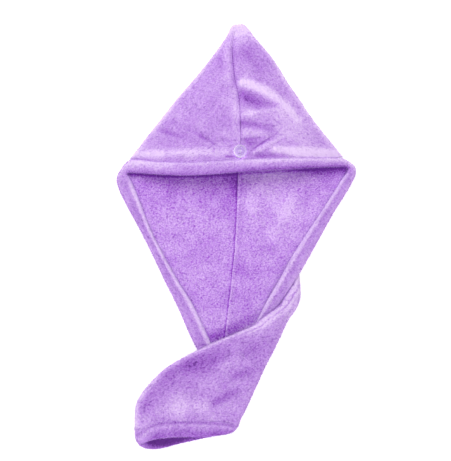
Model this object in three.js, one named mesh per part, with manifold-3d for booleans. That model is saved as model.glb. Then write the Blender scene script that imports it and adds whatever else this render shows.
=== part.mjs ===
// A hair turban towel of pale purple fleece, lying flat on its back.
// Two fleece panels form a pointed hood and a flat tail, a folded hem runs round the face opening,
// another round the mouth of the tail, and a clear button sits in the middle of the brim.
// Millimetres, +Z up, the pointed tip toward +Y, the floor at Z = 0.

import * as THREE from 'three';
import { mergeVertices } from 'three/addons/utils/BufferGeometryUtils.js';
import Module from 'manifold-3d';

const wasm = await Module();
wasm.setup();

// Driving sizes
const TOWEL_WIDTH = 360; // corner to corner, across X
const TOWEL_LENGTH = 639; // tip to mouth, along Y
const WALL = 3; // one layer of fleece with its pile
const CLEARANCE = 0.3; // gap between neighbouring pieces
const FOLD_RADIUS = 2.5; // middle of the wall where the hood folds over at its sides
const BRIM_LIFT = 20; // floor to the underside of the brim, at its middle
const HEM_THICKNESS = 7; // turned hem round the face opening
const TAIL_HEIGHT = 21; // floor to the top of the tail at its mouth
const TAIL_HEM_THICKNESS = 6.5; // turned hem round the mouth
const TAIL_EDGE_RADIUS = 3; // middle of the wall where the tail turns down at its left edge
const TAIL_ROLL = 6; // how far the right edge of the tail rounds inward
const FOLD_DEPTH = 3; // depth of the deepest crease
const SEAM_DIP = 1.2; // the crown seam pulls the cloth down
const SEAM_REACH = 5; // how far to each side it does
const SEAM_EASE = 1.2; // extra room beside the seam, under the tail
const TIP_EASE = 5; // how many clearances the seam opens further at the tip
const BUTTON_DIAMETER = 20;
const BUTTON_THICKNESS = 3.4;
const BUTTON_RIM = 2.6; // width of the raised rim
const BUTTON_DISH = 1.1; // depth of the dished middle
const BUTTON_HOLE = 2.2; // diameter of each of the four holes
const BUTTON_HOLE_PITCH = 4; // side of the square the holes stand on

// A table as a list of rows with named columns
const table = (names, rows) => rows.map((row) => Object.fromEntries(names.map((name, k) => [name, row[k]])));

// Every x below is in per cent of TOWEL_WIDTH and every y in per cent of TOWEL_LENGTH.

// Front of the hood, from the tip to the brim: left edge, seam, right edge
const CROWN = table(['leftX', 'leftY', 'seamX', 'seamY', 'rightX', 'rightY'], [
  [  0.2, 50.0, -0.8, 48.1,  0.2, 50.0],
  [ -1.2, 49.9, -1.3, 46.9,  3.1, 50.0],
  [ -2.9, 48.3, -1.7, 45.3,  5.0, 49.0],
  [ -5.2, 46.2, -1.7, 43.4,  8.1, 46.7],
  [-10.0, 42.5, -1.4, 40.6, 14.8, 42.2],
  [-15.2, 38.7, -0.8, 37.8, 18.6, 38.9],
  [-20.2, 35.4,  0.2, 35.0, 22.1, 35.7],
  [-25.2, 32.1,  1.2, 32.1, 26.1, 32.5],
  [-31.2, 27.8,  1.6, 27.9, 31.3, 28.1],
  [-37.7, 23.2,  1.8, 23.7, 36.9, 24.0],
  [-41.4, 20.5,  1.8, 20.6, 41.1, 21.1],
  [-44.4, 18.3,  1.8, 18.3, 44.6, 18.8],
]);

// Seam of the back, from the tip down to the mouth of the tail
const BACK_SEAM = table(['x', 'y'], [
  [ 0.2,  50.0],
  [-0.8,  48.1],
  [-1.7,  44.3],
  [ 0.2,  32.1],
  [ 1.1,  18.5],
  [ 1.1,  15.0],
  [ 0.7,   7.0],
  [-0.2,  -2.6],
  [-1.9, -12.0],
  [-3.9, -21.2],
  [-4.4, -24.2],
  [-4.7, -26.4],
  [-5.2, -28.7],
  [-5.9, -31.2],
  [-7.5, -34.3],
]);

// Hem round the face opening: up the left side, along the brim, down the right side.
// lift is the underside over the floor, in shares of BRIM_LIFT.
const FACE_HEM = table(['outerX', 'outerY', 'innerX', 'innerY', 'lift'], [
  [-15.4, -27.6,  -9.8, -26.2,    0],
  [-19.1, -23.5, -12.5, -22.8,    0],
  [-24.8, -16.2, -18.2, -16.1,    0],
  [-30.2, -10.1, -24.4, -10.5,    0],
  [-36.9,  -2.1, -32.1,  -2.7,    0],
  [-41.5,   2.9, -36.2,   2.0,    0],
  [-45.8,   7.3, -39.8,   7.3,    0],
  [-49.1,  11.2, -42.9,  11.7, 0.02],
  [-50.0,  13.7, -44.9,  14.2, 0.07],
  [-48.8,  15.7, -45.7,  14.9, 0.13],
  [-46.6,  17.1, -44.9,  15.1, 0.18],
  [-43.9,  17.9, -42.7,  15.1, 0.26],
  [-32.7,  17.7, -32.7,  14.7, 0.62],
  [-21.0,  17.5, -21.0,  14.4, 0.87],
  [ -9.8,  17.8,  -9.8,  14.7, 0.97],
  [  1.8,  18.1,   1.8,  15.2,    1],
  [ 12.3,  18.3,  12.3,  15.6, 0.96],
  [ 23.1,  18.5,  23.1,  15.9, 0.84],
  [ 33.6,  18.5,  33.6,  16.3,  0.6],
  [ 44.2,  18.4,  43.3,  16.5, 0.26],
  [ 47.1,  17.6,  45.2,  16.5, 0.18],
  [ 49.3,  16.6,  46.4,  16.2, 0.13],
  [ 50.0,  15.3,  46.3,  15.4, 0.07],
  [ 47.9,  12.3,  43.4,  12.9, 0.02],
  [ 40.6,   5.6,  35.9,   6.2,    0],
  [ 33.4,  -1.7,  27.9,  -0.5,    0],
  [ 28.6,  -6.5,  22.9,  -5.0, 0.05],
  [ 25.2,  -9.6,  19.4,  -8.6, 0.18],
  [ 22.5, -12.0,  16.5, -11.5, 0.18],
  [ 20.1, -14.1,  14.0, -13.9, 0.18],
  [ 17.6, -16.1,  11.7, -16.3, 0.18],
  [ 14.0, -18.4,   9.4, -19.0, 0.18],
  [ 10.6, -20.9,   6.7, -22.1, 0.18],
]);
const LEFT_HEM_TOP = 8.5; // rows from which the side hems border the back layer
const BRIM_LEFT = 11; // rows where the brim meets the corners and the crown seam
const BRIM_MIDDLE = 15;
const BRIM_RIGHT = 19;
const RIGHT_HEM_TOP = 21.5;

// Upper corners of the back layer, under the brim
const BACK_TOP = table(['leftX', 'rightX', 'y'], [
  [-39.0, 39.4, 20.9],
  [-42.7, 43.0, 18.0],
  [-43.9, 44.4, 16.6],
]);
const BACK_EASE = -22; // below this the left layer stands back from the seam by SEAM_EASE
// Lower end of the back layer, under the tail, where the side hems have ended
const BACK_BOTTOM = {
  left: table(['x', 'y'], [
    [ -9.2, -27.6],
    [-10.2, -30.0],
    [-11.0, -31.6],
  ]),
  right: table(['x', 'y'], [
    [4.8, -23.7],
    [2.6, -25.2],
  ]),
};

// Tail, from the flap at the right side hem to the stitch line of its mouth: left edge, right edge and
// the foot of the lower layer. lip, left and right are heights in shares of TAIL_HEIGHT: the end
// of the turned-down left edge, and the top layer beside the left and the right edge.
const TAIL = table(['leftX', 'leftY', 'rightX', 'rightY', 'footX', 'footY', 'lip', 'left', 'right'], [
  [ 24.1, -11.2, 26.5, -11.2,  17.3, -11.5,  0.2, 0.36, 0.34],
  [ 23.0, -12.2, 26.6, -12.1,  15.6, -12.8,  0.2, 0.42, 0.38],
  [ 20.6, -14.2, 26.6, -14.4,  13.2, -14.8, 0.25, 0.52, 0.45],
  [ 18.2, -16.1, 25.4, -16.4,  10.8, -16.8, 0.35, 0.64, 0.55],
  [ 14.8, -17.5, 23.4, -18.1,   8.6, -18.6, 0.53, 0.76,  0.6],
  [ 10.6, -19.2, 21.5, -19.7,   5.6, -20.4, 0.54, 0.78, 0.62],
  [  7.1, -20.9, 20.0, -21.3,   1.0, -22.2, 0.54, 0.78, 0.62],
  [ -2.3, -23.3, 18.2, -23.6,  -4.4, -24.2,  0.5, 0.76, 0.62],
  [-10.6, -25.3, 16.3, -25.8,  -4.7, -26.4, 0.42,  0.7, 0.62],
  [-16.0, -26.8, 14.1, -28.3,  -5.2, -28.7, 0.38, 0.66, 0.62],
  [-22.7, -28.7, 11.7, -30.9,  -5.9, -31.2, 0.37, 0.64, 0.62],
  [-29.4, -31.0,  9.0, -34.3,  -7.5, -34.3, 0.38, 0.66, 0.62],
  [-34.4, -33.6,  6.1, -37.8,  -9.6, -37.8,  0.4,  0.7, 0.62],
  [-38.9, -36.6,  3.8, -40.6, -11.2, -40.9, 0.42, 0.74, 0.64],
  [-41.4, -39.7,  1.7, -42.9, -12.5, -43.0, 0.44, 0.78, 0.66],
  [-41.8, -43.6,  0.5, -44.0, -13.1, -43.9, 0.45,  0.8, 0.68],
]);
const TAIL_CLOSED = 9.9; // row from which the lower layer reaches the left edge
const TAIL_PUFF = 0.1; // how far the top layer rises between its edges, in shares of TAIL_HEIGHT

// Hem round the mouth of the tail: right fold, top layer, left fold, lower layer.
// height is the middle of the hem, in shares of TAIL_HEIGHT.
const TAIL_HEM = table(['stitchX', 'stitchY', 'mouthX', 'mouthY', 'height'], [
  [  0.4, -44.15,  -2.4, -45.8, 0.45],
  [ -1.4, -44.15,  -4.4, -46.2, 0.71],
  [ -6.0, -44.05,  -9.0, -46.6, 0.81],
  [-13.1, -43.95, -15.6, -46.9, 0.83],
  [-20.2, -43.85, -22.3, -46.8, 0.85],
  [-26.8, -43.85, -28.5, -47.0, 0.85],
  [-32.7, -43.75, -34.0, -47.4, 0.83],
  [-37.7, -43.75, -37.5, -48.0, 0.78],
  [-40.4, -43.75, -39.8, -48.5, 0.67],
  [-41.6, -43.75, -40.7, -47.8, 0.47],
  [-40.6, -43.75, -39.4, -49.1, 0.27],
  [-37.7, -43.75, -35.7, -50.0, 0.16],
  [-32.7, -43.75, -31.9, -49.9, 0.16],
  [-26.8, -43.85, -24.2, -48.8, 0.16],
  [-19.4, -43.95, -16.4, -47.8, 0.16],
  [-11.0, -44.05,  -9.8, -47.0, 0.16],
  [ -3.5, -44.15,  -5.2, -46.4, 0.19],
  [ -0.4, -44.15,  -2.9, -46.0,  0.3],
]);

// Folds and hollows: a line from (x0, y0) to (x1, y1), its reach to each side in per cent of
// TOWEL_WIDTH, and its height in shares of FOLD_DEPTH
const CROWN_FOLDS = table(['x0', 'y0', 'x1', 'y1', 'reach', 'height'], [
  [  2.7, 36.8,  12.3, 34.0, 2.5,  0.9],
  [ 12.3, 34.0,  24.0, 28.4, 2.2,  0.9],
  [  4.8, 32.4,  14.0, 31.4, 3.0, -1.0],
  [  5.6, 29.1,  16.1, 28.1, 2.0,  0.5],
  [  3.6, 26.5,  14.0, 26.0, 2.0, -0.8],
  [  4.4, 24.9,  19.0, 24.4, 1.8,  0.5],
  [  5.6, 22.0,  13.1, 23.0, 2.2, -0.9],
  [ 10.6, 19.5,  22.3, 19.7, 1.6, -0.6],
  [ 23.1, 19.9,  42.3, 19.5, 1.8,  0.5],
  [ -3.9, 45.0,  -3.3, 32.6, 2.0,  0.7],
  [ -6.9, 43.9,  -5.6, 39.2, 1.8, -0.6],
  [-31.9, 25.6, -19.4, 22.3, 2.4, -0.6],
  [-17.3, 25.1,  -8.9, 22.3, 2.4, -0.6],
  [-40.2, 19.7,  -3.5, 19.5, 2.0,  0.5],
]);
const BACK_FOLDS = table(['x0', 'y0', 'x1', 'y1', 'reach', 'height'], [
  [  8.1, 11.0,   8.1,  2.1, 3.2, 0.7],
  [ 16.0,  1.2,  25.6, 11.5, 3.5, 0.8],
  [-29.8,  5.1, -11.0,  4.0, 5.0, 0.4],
]);
const TAIL_FOLDS = table(['x0', 'y0', 'x1', 'y1', 'reach', 'height'], [
  [-33.9, -31.5,  9.0, -26.5, 3.5, -0.6],
  [-25.6, -39.5, -4.8, -38.8, 4.0,  0.6],
  [ -1.9, -34.8, -2.3, -38.3, 2.5, -0.5],
  [ 23.8, -14.3, 18.6, -18.1, 1.0, -0.5],
]);

const BUTTON = { x: 1.5, y: 20.0 };

// How finely each surface is divided
const SMALLEST_EDGE = 0.04;
const CROWN_ROWS = 22;
const HEM_ROWS = 78;
const HEM_SIDES = 10;
const TAIL_ROWS = 30;
const TAIL_HEM_ROWS = 42;

// A position in per cent of the two plan sizes
const place = (x, y, z = 0) => new THREE.Vector3((x * TOWEL_WIDTH) / 100, (y * TOWEL_LENGTH) / 100, z);
const mix = (a, b, t) => a + (b - a) * t;

// A smooth curve through the rows of a table; rows are counted from 0 and may be fractions
function rail(points, closed = false) {
  const curve = new THREE.CatmullRomCurve3(points, closed, 'centripetal');
  const spans = closed ? points.length : points.length - 1;
  return (row) => curve.getPoint(THREE.MathUtils.clamp(row / spans, 0, 1));
}

// Height that a set of folds adds at a point
function foldHeight(folds, point) {
  let height = 0;
  for (const fold of folds) {
    const start = place(fold.x0, fold.y0);
    const along = place(fold.x1, fold.y1).sub(start);
    const offset = new THREE.Vector3(point.x, point.y, 0).sub(start);
    const share = THREE.MathUtils.clamp(offset.dot(along) / along.lengthSq(), 0, 1);
    const distance = offset.distanceTo(along.multiplyScalar(share));
    const reach = (fold.reach * TOWEL_WIDTH) / 100;
    height += fold.height * FOLD_DEPTH * Math.exp(-((distance / reach) ** 2));
  }
  return height;
}

// Closed body from a list of rings or rows that all hold the same number of points
function closedBody(positions, triangles) {
  const geometry = new THREE.BufferGeometry();
  geometry.setAttribute('position', new THREE.Float32BufferAttribute(positions, 3));
  geometry.setIndex(triangles);
  return toManifold(geometry);
}

// A geometry as a solid, with its faces turned outward
function toManifold(geometry) {
  const bare = geometry.clone();
  bare.deleteAttribute('normal');
  bare.deleteAttribute('uv');
  const merged = mergeVertices(bare, 1e-4);
  const vertProperties = Float32Array.from(merged.attributes.position.array);
  const triVerts = Uint32Array.from(merged.index.array);
  const corner = (k) => new THREE.Vector3().fromArray(vertProperties, 3 * triVerts[k]);
  let volume = 0;
  for (let k = 0; k < triVerts.length; k += 3) {
    volume += corner(k).dot(corner(k + 1).cross(corner(k + 2)));
  }
  if (volume < 0) {
    for (let k = 0; k < triVerts.length; k += 3) {
      [triVerts[k], triVerts[k + 1]] = [triVerts[k + 1], triVerts[k]];
    }
  }
  return new wasm.Manifold(new wasm.Mesh({ numProp: 3, vertProperties, triVerts }));
}

function toGeometry(solid) {
  const mesh = solid.simplify(SMALLEST_EDGE).getMesh();
  const geometry = new THREE.BufferGeometry();
  geometry.setAttribute('position', new THREE.Float32BufferAttribute(mesh.vertProperties, 3));
  geometry.setIndex(Array.from(mesh.triVerts));
  geometry.computeVertexNormals();
  return geometry;
}

// A layer of cloth of one thickness, half of it to each side of a grid of points. At the edges named
// in upright the end face stands square to the neighbouring piece.
function clothLayer(grid, upright = {}) {
  const rows = grid.length;
  const columns = grid[0].length;
  const positions = [];
  const sides = [[], []];
  for (let i = 0; i < rows; i += 1) {
    for (let j = 0; j < columns; j += 1) {
      const along = grid[Math.min(i + 1, rows - 1)][j].clone().sub(grid[Math.max(i - 1, 0)][j]);
      const across = grid[i][Math.min(j + 1, columns - 1)].clone().sub(grid[i][Math.max(j - 1, 0)]);
      const normal = along.clone().cross(across).normalize();
      const squareTo = (border) => {
        const level = new THREE.Vector3(-border.y, border.x, 0).normalize();
        normal.addScaledVector(level, -normal.dot(level)).normalize();
      };
      if ((i === 0 && upright.first) || (i === rows - 1 && upright.last)) squareTo(across);
      if ((j === 0 && upright.left) || (j === columns - 1 && upright.right)) squareTo(along);
      sides[0].push(grid[i][j].clone().addScaledVector(normal, WALL / 2));
      sides[1].push(grid[i][j].clone().addScaledVector(normal, -WALL / 2));
    }
  }
  for (const side of sides) {
    for (const point of side) {
      if (Math.abs(point.z) < 0.02) point.z = 0;
      positions.push(point.x, point.y, point.z);
    }
  }
  const at = (side, i, j) => (side * rows + i) * columns + j;
  const triangles = [];
  const quad = (a, b, c, d) => triangles.push(a, b, c, a, c, d);
  for (let i = 0; i < rows - 1; i += 1) {
    for (let j = 0; j < columns - 1; j += 1) {
      quad(at(0, i, j), at(0, i + 1, j), at(0, i + 1, j + 1), at(0, i, j + 1));
      quad(at(1, i, j), at(1, i, j + 1), at(1, i + 1, j + 1), at(1, i + 1, j));
    }
    quad(at(0, i, 0), at(1, i, 0), at(1, i + 1, 0), at(0, i + 1, 0));
    quad(at(0, i, columns - 1), at(0, i + 1, columns - 1), at(1, i + 1, columns - 1), at(1, i, columns - 1));
  }
  for (let j = 0; j < columns - 1; j += 1) {
    quad(at(0, 0, j), at(0, 0, j + 1), at(1, 0, j + 1), at(1, 0, j));
    quad(at(0, rows - 1, j), at(1, rows - 1, j), at(1, rows - 1, j + 1), at(0, rows - 1, j + 1));
  }
  return closedBody(positions, triangles);
}

// A hem: an oval section swept between two edge curves
function hemBand(first, second, thickness, spans, stations, closed) {
  const positions = [];
  const triangles = [];
  const count = closed ? stations : stations + 1;
  for (let i = 0; i < count; i += 1) {
    const row = (i / stations) * spans;
    const step = 0.02;
    const a = first(row);
    const b = second(row);
    const before = first(Math.max(row - step, 0)).add(second(Math.max(row - step, 0)));
    const after = first(Math.min(row + step, spans)).add(second(Math.min(row + step, spans)));
    const tangent = after.sub(before).normalize();
    const across = b.clone().sub(a);
    const normal = tangent.clone().cross(across).normalize();
    const middle = a.clone().add(b).multiplyScalar(0.5);
    for (let j = 0; j < HEM_SIDES; j += 1) {
      const angle = (2 * Math.PI * j) / HEM_SIDES;
      const wide = Math.sign(Math.cos(angle)) * Math.abs(Math.cos(angle)) ** 0.8;
      const high = Math.sign(Math.sin(angle)) * Math.abs(Math.sin(angle)) ** 0.7;
      const point = middle.clone().addScaledVector(across, -0.5 * wide);
      point.addScaledVector(normal, (thickness / 2) * high);
      positions.push(point.x, point.y, Math.max(point.z, 0));
    }
  }
  const at = (i, j) => (i % count) * HEM_SIDES + (j % HEM_SIDES);
  for (let i = 0; i < (closed ? count : count - 1); i += 1) {
    for (let j = 0; j < HEM_SIDES; j += 1) {
      triangles.push(at(i, j), at(i + 1, j), at(i + 1, j + 1), at(i, j), at(i + 1, j + 1), at(i, j + 1));
    }
  }
  if (!closed) {
    for (let j = 1; j < HEM_SIDES - 1; j += 1) {
      triangles.push(at(0, 0), at(0, j), at(0, j + 1));
      triangles.push(at(count - 1, 0), at(count - 1, j + 1), at(count - 1, j));
    }
  }
  return closedBody(positions, triangles);
}

// Edge curves of the face hem, through the middle of its thickness
const hemHeight = (row) => row.lift * BRIM_LIFT + HEM_THICKNESS / 2;
const hemOuter = rail(FACE_HEM.map((row) => place(row.outerX, row.outerY, hemHeight(row))));
const hemInner = rail(FACE_HEM.map((row) => place(row.innerX, row.innerY, hemHeight(row))));

// The back seam as a point at a given y
function backSeam(y) {
  const points = BACK_SEAM.map((row) => place(row.x, row.y));
  let k = 0;
  while (k < points.length - 2 && y < points[k + 1].y) k += 1;
  const share = (y - points[k].y) / (points[k + 1].y - points[k].y);
  return new THREE.Vector3(mix(points[k].x, points[k + 1].x, share), y, WALL / 2);
}

// One half of the hood: flat back layer, fold at the side edge, raised front layer up to the crown seam
function hoodHalf(side) {
  const sign = side === 'left' ? -1 : 1;
  const edge = rail(CROWN.map((row) => place(row[`${side}X`], row[`${side}Y`])));
  const seam = rail(CROWN.map((row) => place(row.seamX, row.seamY)));
  const brimEnd = side === 'left' ? BRIM_LEFT : BRIM_RIGHT;
  const brim = (t) => hemOuter(mix(BRIM_MIDDLE, brimEnd, t));
  const backColumns = 4;
  const foldColumns = 5;
  const frontColumns = 12;
  const grid = [];
  for (let i = 0; i <= CROWN_ROWS; i += 1) {
    const s = (i / CROWN_ROWS) ** 1.25;
    const row = s * (CROWN.length - 1);
    const outer = edge(row);
    const seamPoint = seam(row);
    const seamGap = (sign * CLEARANCE * (1 + TIP_EASE * Math.max(0, 1 - 5 * s))) / 2;
    seamPoint.x += seamGap;
    outer.x += i === 0 ? seamGap : 0;
    const inward = seamPoint.clone().sub(outer).normalize();
    const turn = outer.clone().addScaledVector(inward, WALL / 2 + FOLD_RADIUS);
    const heel = backSeam(seamPoint.y);
    heel.x += (sign * CLEARANCE) / 2;
    if (i === 0) heel.x = seamPoint.x;
    const line = [];
    for (let j = 0; j < backColumns; j += 1) {
      const point = heel.clone().lerp(turn, j / backColumns);
      line.push(point.setZ(WALL / 2));
    }
    for (let j = 0; j <= foldColumns; j += 1) {
      const angle = Math.PI * (j / foldColumns - 0.5);
      const point = turn.clone().addScaledVector(inward, -FOLD_RADIUS * Math.cos(angle));
      line.push(point.setZ(WALL / 2 + FOLD_RADIUS * (1 + Math.sin(angle))));
    }
    const edgeHeight = WALL / 2 + 2 * FOLD_RADIUS;
    const opening = THREE.MathUtils.smoothstep(s, 0.03, 0.3);
    for (let j = 1; j <= frontColumns; j += 1) {
      const t = 1 - j / frontColumns;
      const point = seamPoint.clone().lerp(turn, t);
      const onBrim = brim(t);
      const fade = 1 - t ** 6;
      const toBrim = s ** 8 * fade;
      const brimGap = CLEARANCE + 0.15 * WALL;
      point.x = mix(point.x, onBrim.x + (j === frontColumns ? (sign * CLEARANCE) / 2 : 0), toBrim);
      point.y = mix(point.y, onBrim.y + brimGap, toBrim);
      const swell = (0.06 + 0.94 * s ** 1.2) * opening;
      const dip = SEAM_DIP * Math.exp(-((point.distanceTo(seamPoint) / SEAM_REACH) ** 2));
      const creases = foldHeight(CROWN_FOLDS, point) - dip;
      const height = edgeHeight + (onBrim.z - edgeHeight) * swell * fade;
      line.push(point.setZ(height + creases * fade * opening * (1 - toBrim * 0.6)));
    }
    grid.push(line);
  }
  return grid;
}

// Flat back layer of one side, between the back seam and the side hem
function backGrid(side) {
  const sign = side === 'left' ? -1 : 1;
  const edge = BACK_TOP.map((row) => place(row[`${side}X`], row.y));
  const gap = -sign * (CLEARANCE + 0.4);
  const hemTop = side === 'left' ? LEFT_HEM_TOP : RIGHT_HEM_TOP;
  for (let row = hemTop; row >= 0 && row <= FACE_HEM.length - 1; row += 0.5 * sign) {
    edge.push(hemInner(row).add(new THREE.Vector3(gap, 0, 0)));
  }
  BACK_BOTTOM[side].forEach((row) => edge.push(place(row.x, row.y)));
  const columns = 6;
  return edge.map((outer) => {
    const heel = backSeam(outer.y);
    heel.x += (sign * CLEARANCE) / 2;
    if (side === 'left' && outer.y < place(0, BACK_EASE).y) heel.x -= SEAM_EASE;
    const line = [];
    for (let j = 0; j <= columns; j += 1) {
      const point = heel.clone().lerp(outer, j / columns);
      const share = Math.sin(Math.PI * (j / columns)) ** 0.5;
      const inOpening = outer.y < place(0, BACK_TOP[2].y).y;
      const lift = inOpening ? Math.max(foldHeight(BACK_FOLDS, point), 0) * share : 0;
      line.push(point.setZ(WALL / 2 + lift));
    }
    return line;
  });
}

// Edges of the tail as smooth curves
const tailLeft = rail(TAIL.map((row) => place(row.leftX, row.leftY, row.left * TAIL_HEIGHT)));
const tailRight = rail(TAIL.map((row) => place(row.rightX, row.rightY, row.right * TAIL_HEIGHT)));
const tailFoot = rail(TAIL.map((row) => place(row.footX, row.footY, row.lip * TAIL_HEIGHT)));
const TAIL_END = TAIL.length - 1;

// Top layer of the tail: turned down at its left edge, rolled round its right edge, back to the seam
function tailTop() {
  const grid = [];
  const lipColumns = 1;
  const turnColumns = 3;
  const topColumns = 11;
  const rollColumns = 6;
  const floorColumns = 3;
  for (let i = 0; i <= TAIL_ROWS; i += 1) {
    const row = (i / TAIL_ROWS) * TAIL_END;
    const left = tailLeft(row);
    const right = tailRight(row);
    const foot = tailFoot(row);
    const leftHeight = left.z;
    const rightHeight = right.z;
    const lip = foot.z + CLEARANCE / 2;
    const leftFlat = left.clone().setZ(0);
    const rightFlat = right.clone().setZ(0);
    const across = rightFlat.clone().sub(leftFlat);
    const width = across.length();
    across.normalize();
    const room = ((width - WALL) / 2) * 0.95;
    const turn = Math.min(TAIL_EDGE_RADIUS, room, leftHeight - lip);
    const roll = Math.min(TAIL_ROLL, room, (rightHeight - WALL / 2) / 2);
    const line = [];
    const wallX = WALL / 2;
    for (let j = 0; j < lipColumns; j += 1) {
      line.push(leftFlat.clone().addScaledVector(across, wallX).setZ(lip));
    }
    for (let j = 0; j < turnColumns; j += 1) {
      const angle = (Math.PI / 2) * (j / turnColumns);
      const point = leftFlat.clone().addScaledVector(across, wallX + turn * (1 - Math.cos(angle)));
      line.push(point.setZ(leftHeight - turn * (1 - Math.sin(angle))));
    }
    const start = wallX + turn;
    const end = width - WALL / 2 - roll;
    const puff = TAIL_PUFF * TAIL_HEIGHT * Math.min(1, row / 5);
    for (let j = 0; j <= topColumns; j += 1) {
      const t = j / topColumns;
      const point = leftFlat.clone().addScaledVector(across, mix(start, end, t));
      const arch = Math.sin(Math.PI * t);
      const level = mix(leftHeight, rightHeight, t * t);
      line.push(point.setZ(level + puff * arch + foldHeight(TAIL_FOLDS, point) * Math.min(1, 3 * arch)));
    }
    for (let j = 1; j <= rollColumns; j += 1) {
      const angle = Math.PI * (0.5 - j / rollColumns);
      const half = (rightHeight - WALL / 2) / 2;
      const point = leftFlat.clone().addScaledVector(across, end + roll * Math.cos(angle));
      line.push(point.setZ(WALL / 2 + half * (1 + Math.sin(angle))));
    }
    const under = leftFlat.clone().addScaledVector(across, end).setZ(WALL / 2);
    const heel = foot.clone().setZ(WALL / 2);
    heel.x += CLEARANCE / 2;
    for (let j = 1; j <= floorColumns; j += 1) line.push(under.clone().lerp(heel, j / floorColumns));
    grid.push(line);
  }
  return grid;
}

// Lower layer of the tail: flat from the seam to the left edge, where it turns up to meet the top layer
function tailUnder() {
  const grid = [];
  const floorColumns = 4;
  const turnColumns = 3;
  const rows = 14;
  for (let i = 0; i <= rows; i += 1) {
    const row = mix(TAIL_CLOSED, TAIL_END, i / rows);
    const left = tailLeft(row).setZ(0);
    const foot = tailFoot(row);
    const lip = foot.z - CLEARANCE / 2;
    const heel = foot.clone().setZ(WALL / 2);
    heel.x -= CLEARANCE / 2;
    const inward = heel.clone().setZ(0).sub(left).normalize();
    const turn = Math.min(TAIL_EDGE_RADIUS, lip - WALL / 2);
    const bend = left.clone().addScaledVector(inward, WALL / 2 + turn).setZ(WALL / 2);
    const line = [];
    for (let j = 0; j < floorColumns; j += 1) line.push(heel.clone().lerp(bend, j / floorColumns));
    for (let j = 0; j <= turnColumns; j += 1) {
      const angle = (Math.PI / 2) * (j / turnColumns);
      const point = left.clone().addScaledVector(inward, WALL / 2 + turn * (1 - Math.sin(angle)));
      line.push(point.setZ(WALL / 2 + turn * (1 - Math.cos(angle))));
    }
    line.push(left.clone().addScaledVector(inward, WALL / 2).setZ(Math.max(lip, WALL / 2 + turn + 0.2)));
    grid.push(line);
  }
  return grid;
}

// Height of the cloth under the button
function highestUnder(grids, centre, reach) {
  let height = 0;
  for (const grid of grids) {
    for (const point of grid.flat()) {
      if (Math.hypot(point.x - centre.x, point.y - centre.y) < reach) height = Math.max(height, point.z);
    }
  }
  return height + WALL / 2;
}

// Dished button with four holes
function buttonBody() {
  const radius = BUTTON_DIAMETER / 2;
  const inner = radius - BUTTON_RIM;
  const profile = [
    new THREE.Vector2(0, 0),
    new THREE.Vector2(radius - 0.9, 0),
    new THREE.Vector2(radius, 0.9),
    new THREE.Vector2(radius, BUTTON_THICKNESS - 1),
    new THREE.Vector2(radius - 0.8, BUTTON_THICKNESS),
    new THREE.Vector2(inner + 0.5, BUTTON_THICKNESS),
    new THREE.Vector2(inner - 0.5, BUTTON_THICKNESS - BUTTON_DISH),
    new THREE.Vector2(0, BUTTON_THICKNESS - BUTTON_DISH),
  ];
  const disc = new THREE.LatheGeometry(profile, 28);
  disc.rotateX(Math.PI / 2);
  let solid = toManifold(disc);
  for (const [x, y] of [[-1, -1], [1, -1], [-1, 1], [1, 1]]) {
    const hole = new THREE.CylinderGeometry(BUTTON_HOLE / 2, BUTTON_HOLE / 2, 4 * BUTTON_THICKNESS, 8);
    hole.rotateX(Math.PI / 2);
    hole.translate((x * BUTTON_HOLE_PITCH) / 2, (y * BUTTON_HOLE_PITCH) / 2, 0);
    solid = solid.subtract(toManifold(hole));
  }
  return solid;
}

const leftHood = hoodHalf('left');
const rightHood = hoodHalf('right');
const hoodEdges = { first: true, last: true, left: true, right: true };
const backEdges = { left: true, right: true };

const leftPanel = clothLayer(leftHood, hoodEdges)
  .add(clothLayer(backGrid('left'), backEdges))
  .add(clothLayer(tailUnder(), { left: true, last: true }));
const rightPanel = clothLayer(rightHood, hoodEdges)
  .add(clothLayer(backGrid('right'), backEdges))
  .add(clothLayer(tailTop(), { right: true, last: true }));

const faceHem = hemBand(hemOuter, hemInner, HEM_THICKNESS, FACE_HEM.length - 1, HEM_ROWS, false);

const mouthHeight = (row) => Math.max(row.height * TAIL_HEIGHT, TAIL_HEM_THICKNESS / 2);
const stitchLoop = rail(TAIL_HEM.map((row) => place(row.stitchX, row.stitchY, mouthHeight(row))), true);
const mouthLoop = rail(TAIL_HEM.map((row) => place(row.mouthX, row.mouthY, mouthHeight(row))), true);
const tailHem = hemBand(stitchLoop, mouthLoop, TAIL_HEM_THICKNESS, TAIL_HEM.length, TAIL_HEM_ROWS, true);

const fleece = { color: 0xc79cf0, roughness: 0.95, metalness: 0 };
const hemFleece = { color: 0xcfa6f4, roughness: 0.95, metalness: 0 };
const clearPlastic = { color: 0xeadcf8, roughness: 0.2, metalness: 0 };

const part = new THREE.Group();
part.name = 'hair_turban_towel';

function addPiece(name, geometry, look) {
  const piece = new THREE.Mesh(geometry, new THREE.MeshStandardMaterial(look));
  piece.name = name;
  part.add(piece);
  return piece;
}

addPiece('left_panel', toGeometry(leftPanel), fleece);
addPiece('right_panel', toGeometry(rightPanel), fleece);
addPiece('face_hem', toGeometry(faceHem), hemFleece);
addPiece('tail_hem', toGeometry(tailHem), hemFleece);

const buttonCentre = place(BUTTON.x, BUTTON.y);
const button = addPiece('button', toGeometry(buttonBody()), clearPlastic);
const buttonSeat = highestUnder([leftHood, rightHood], buttonCentre, 0.7 * BUTTON_DIAMETER);
button.position.copy(buttonCentre).setZ(buttonSeat + CLEARANCE);

export default part;
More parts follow.
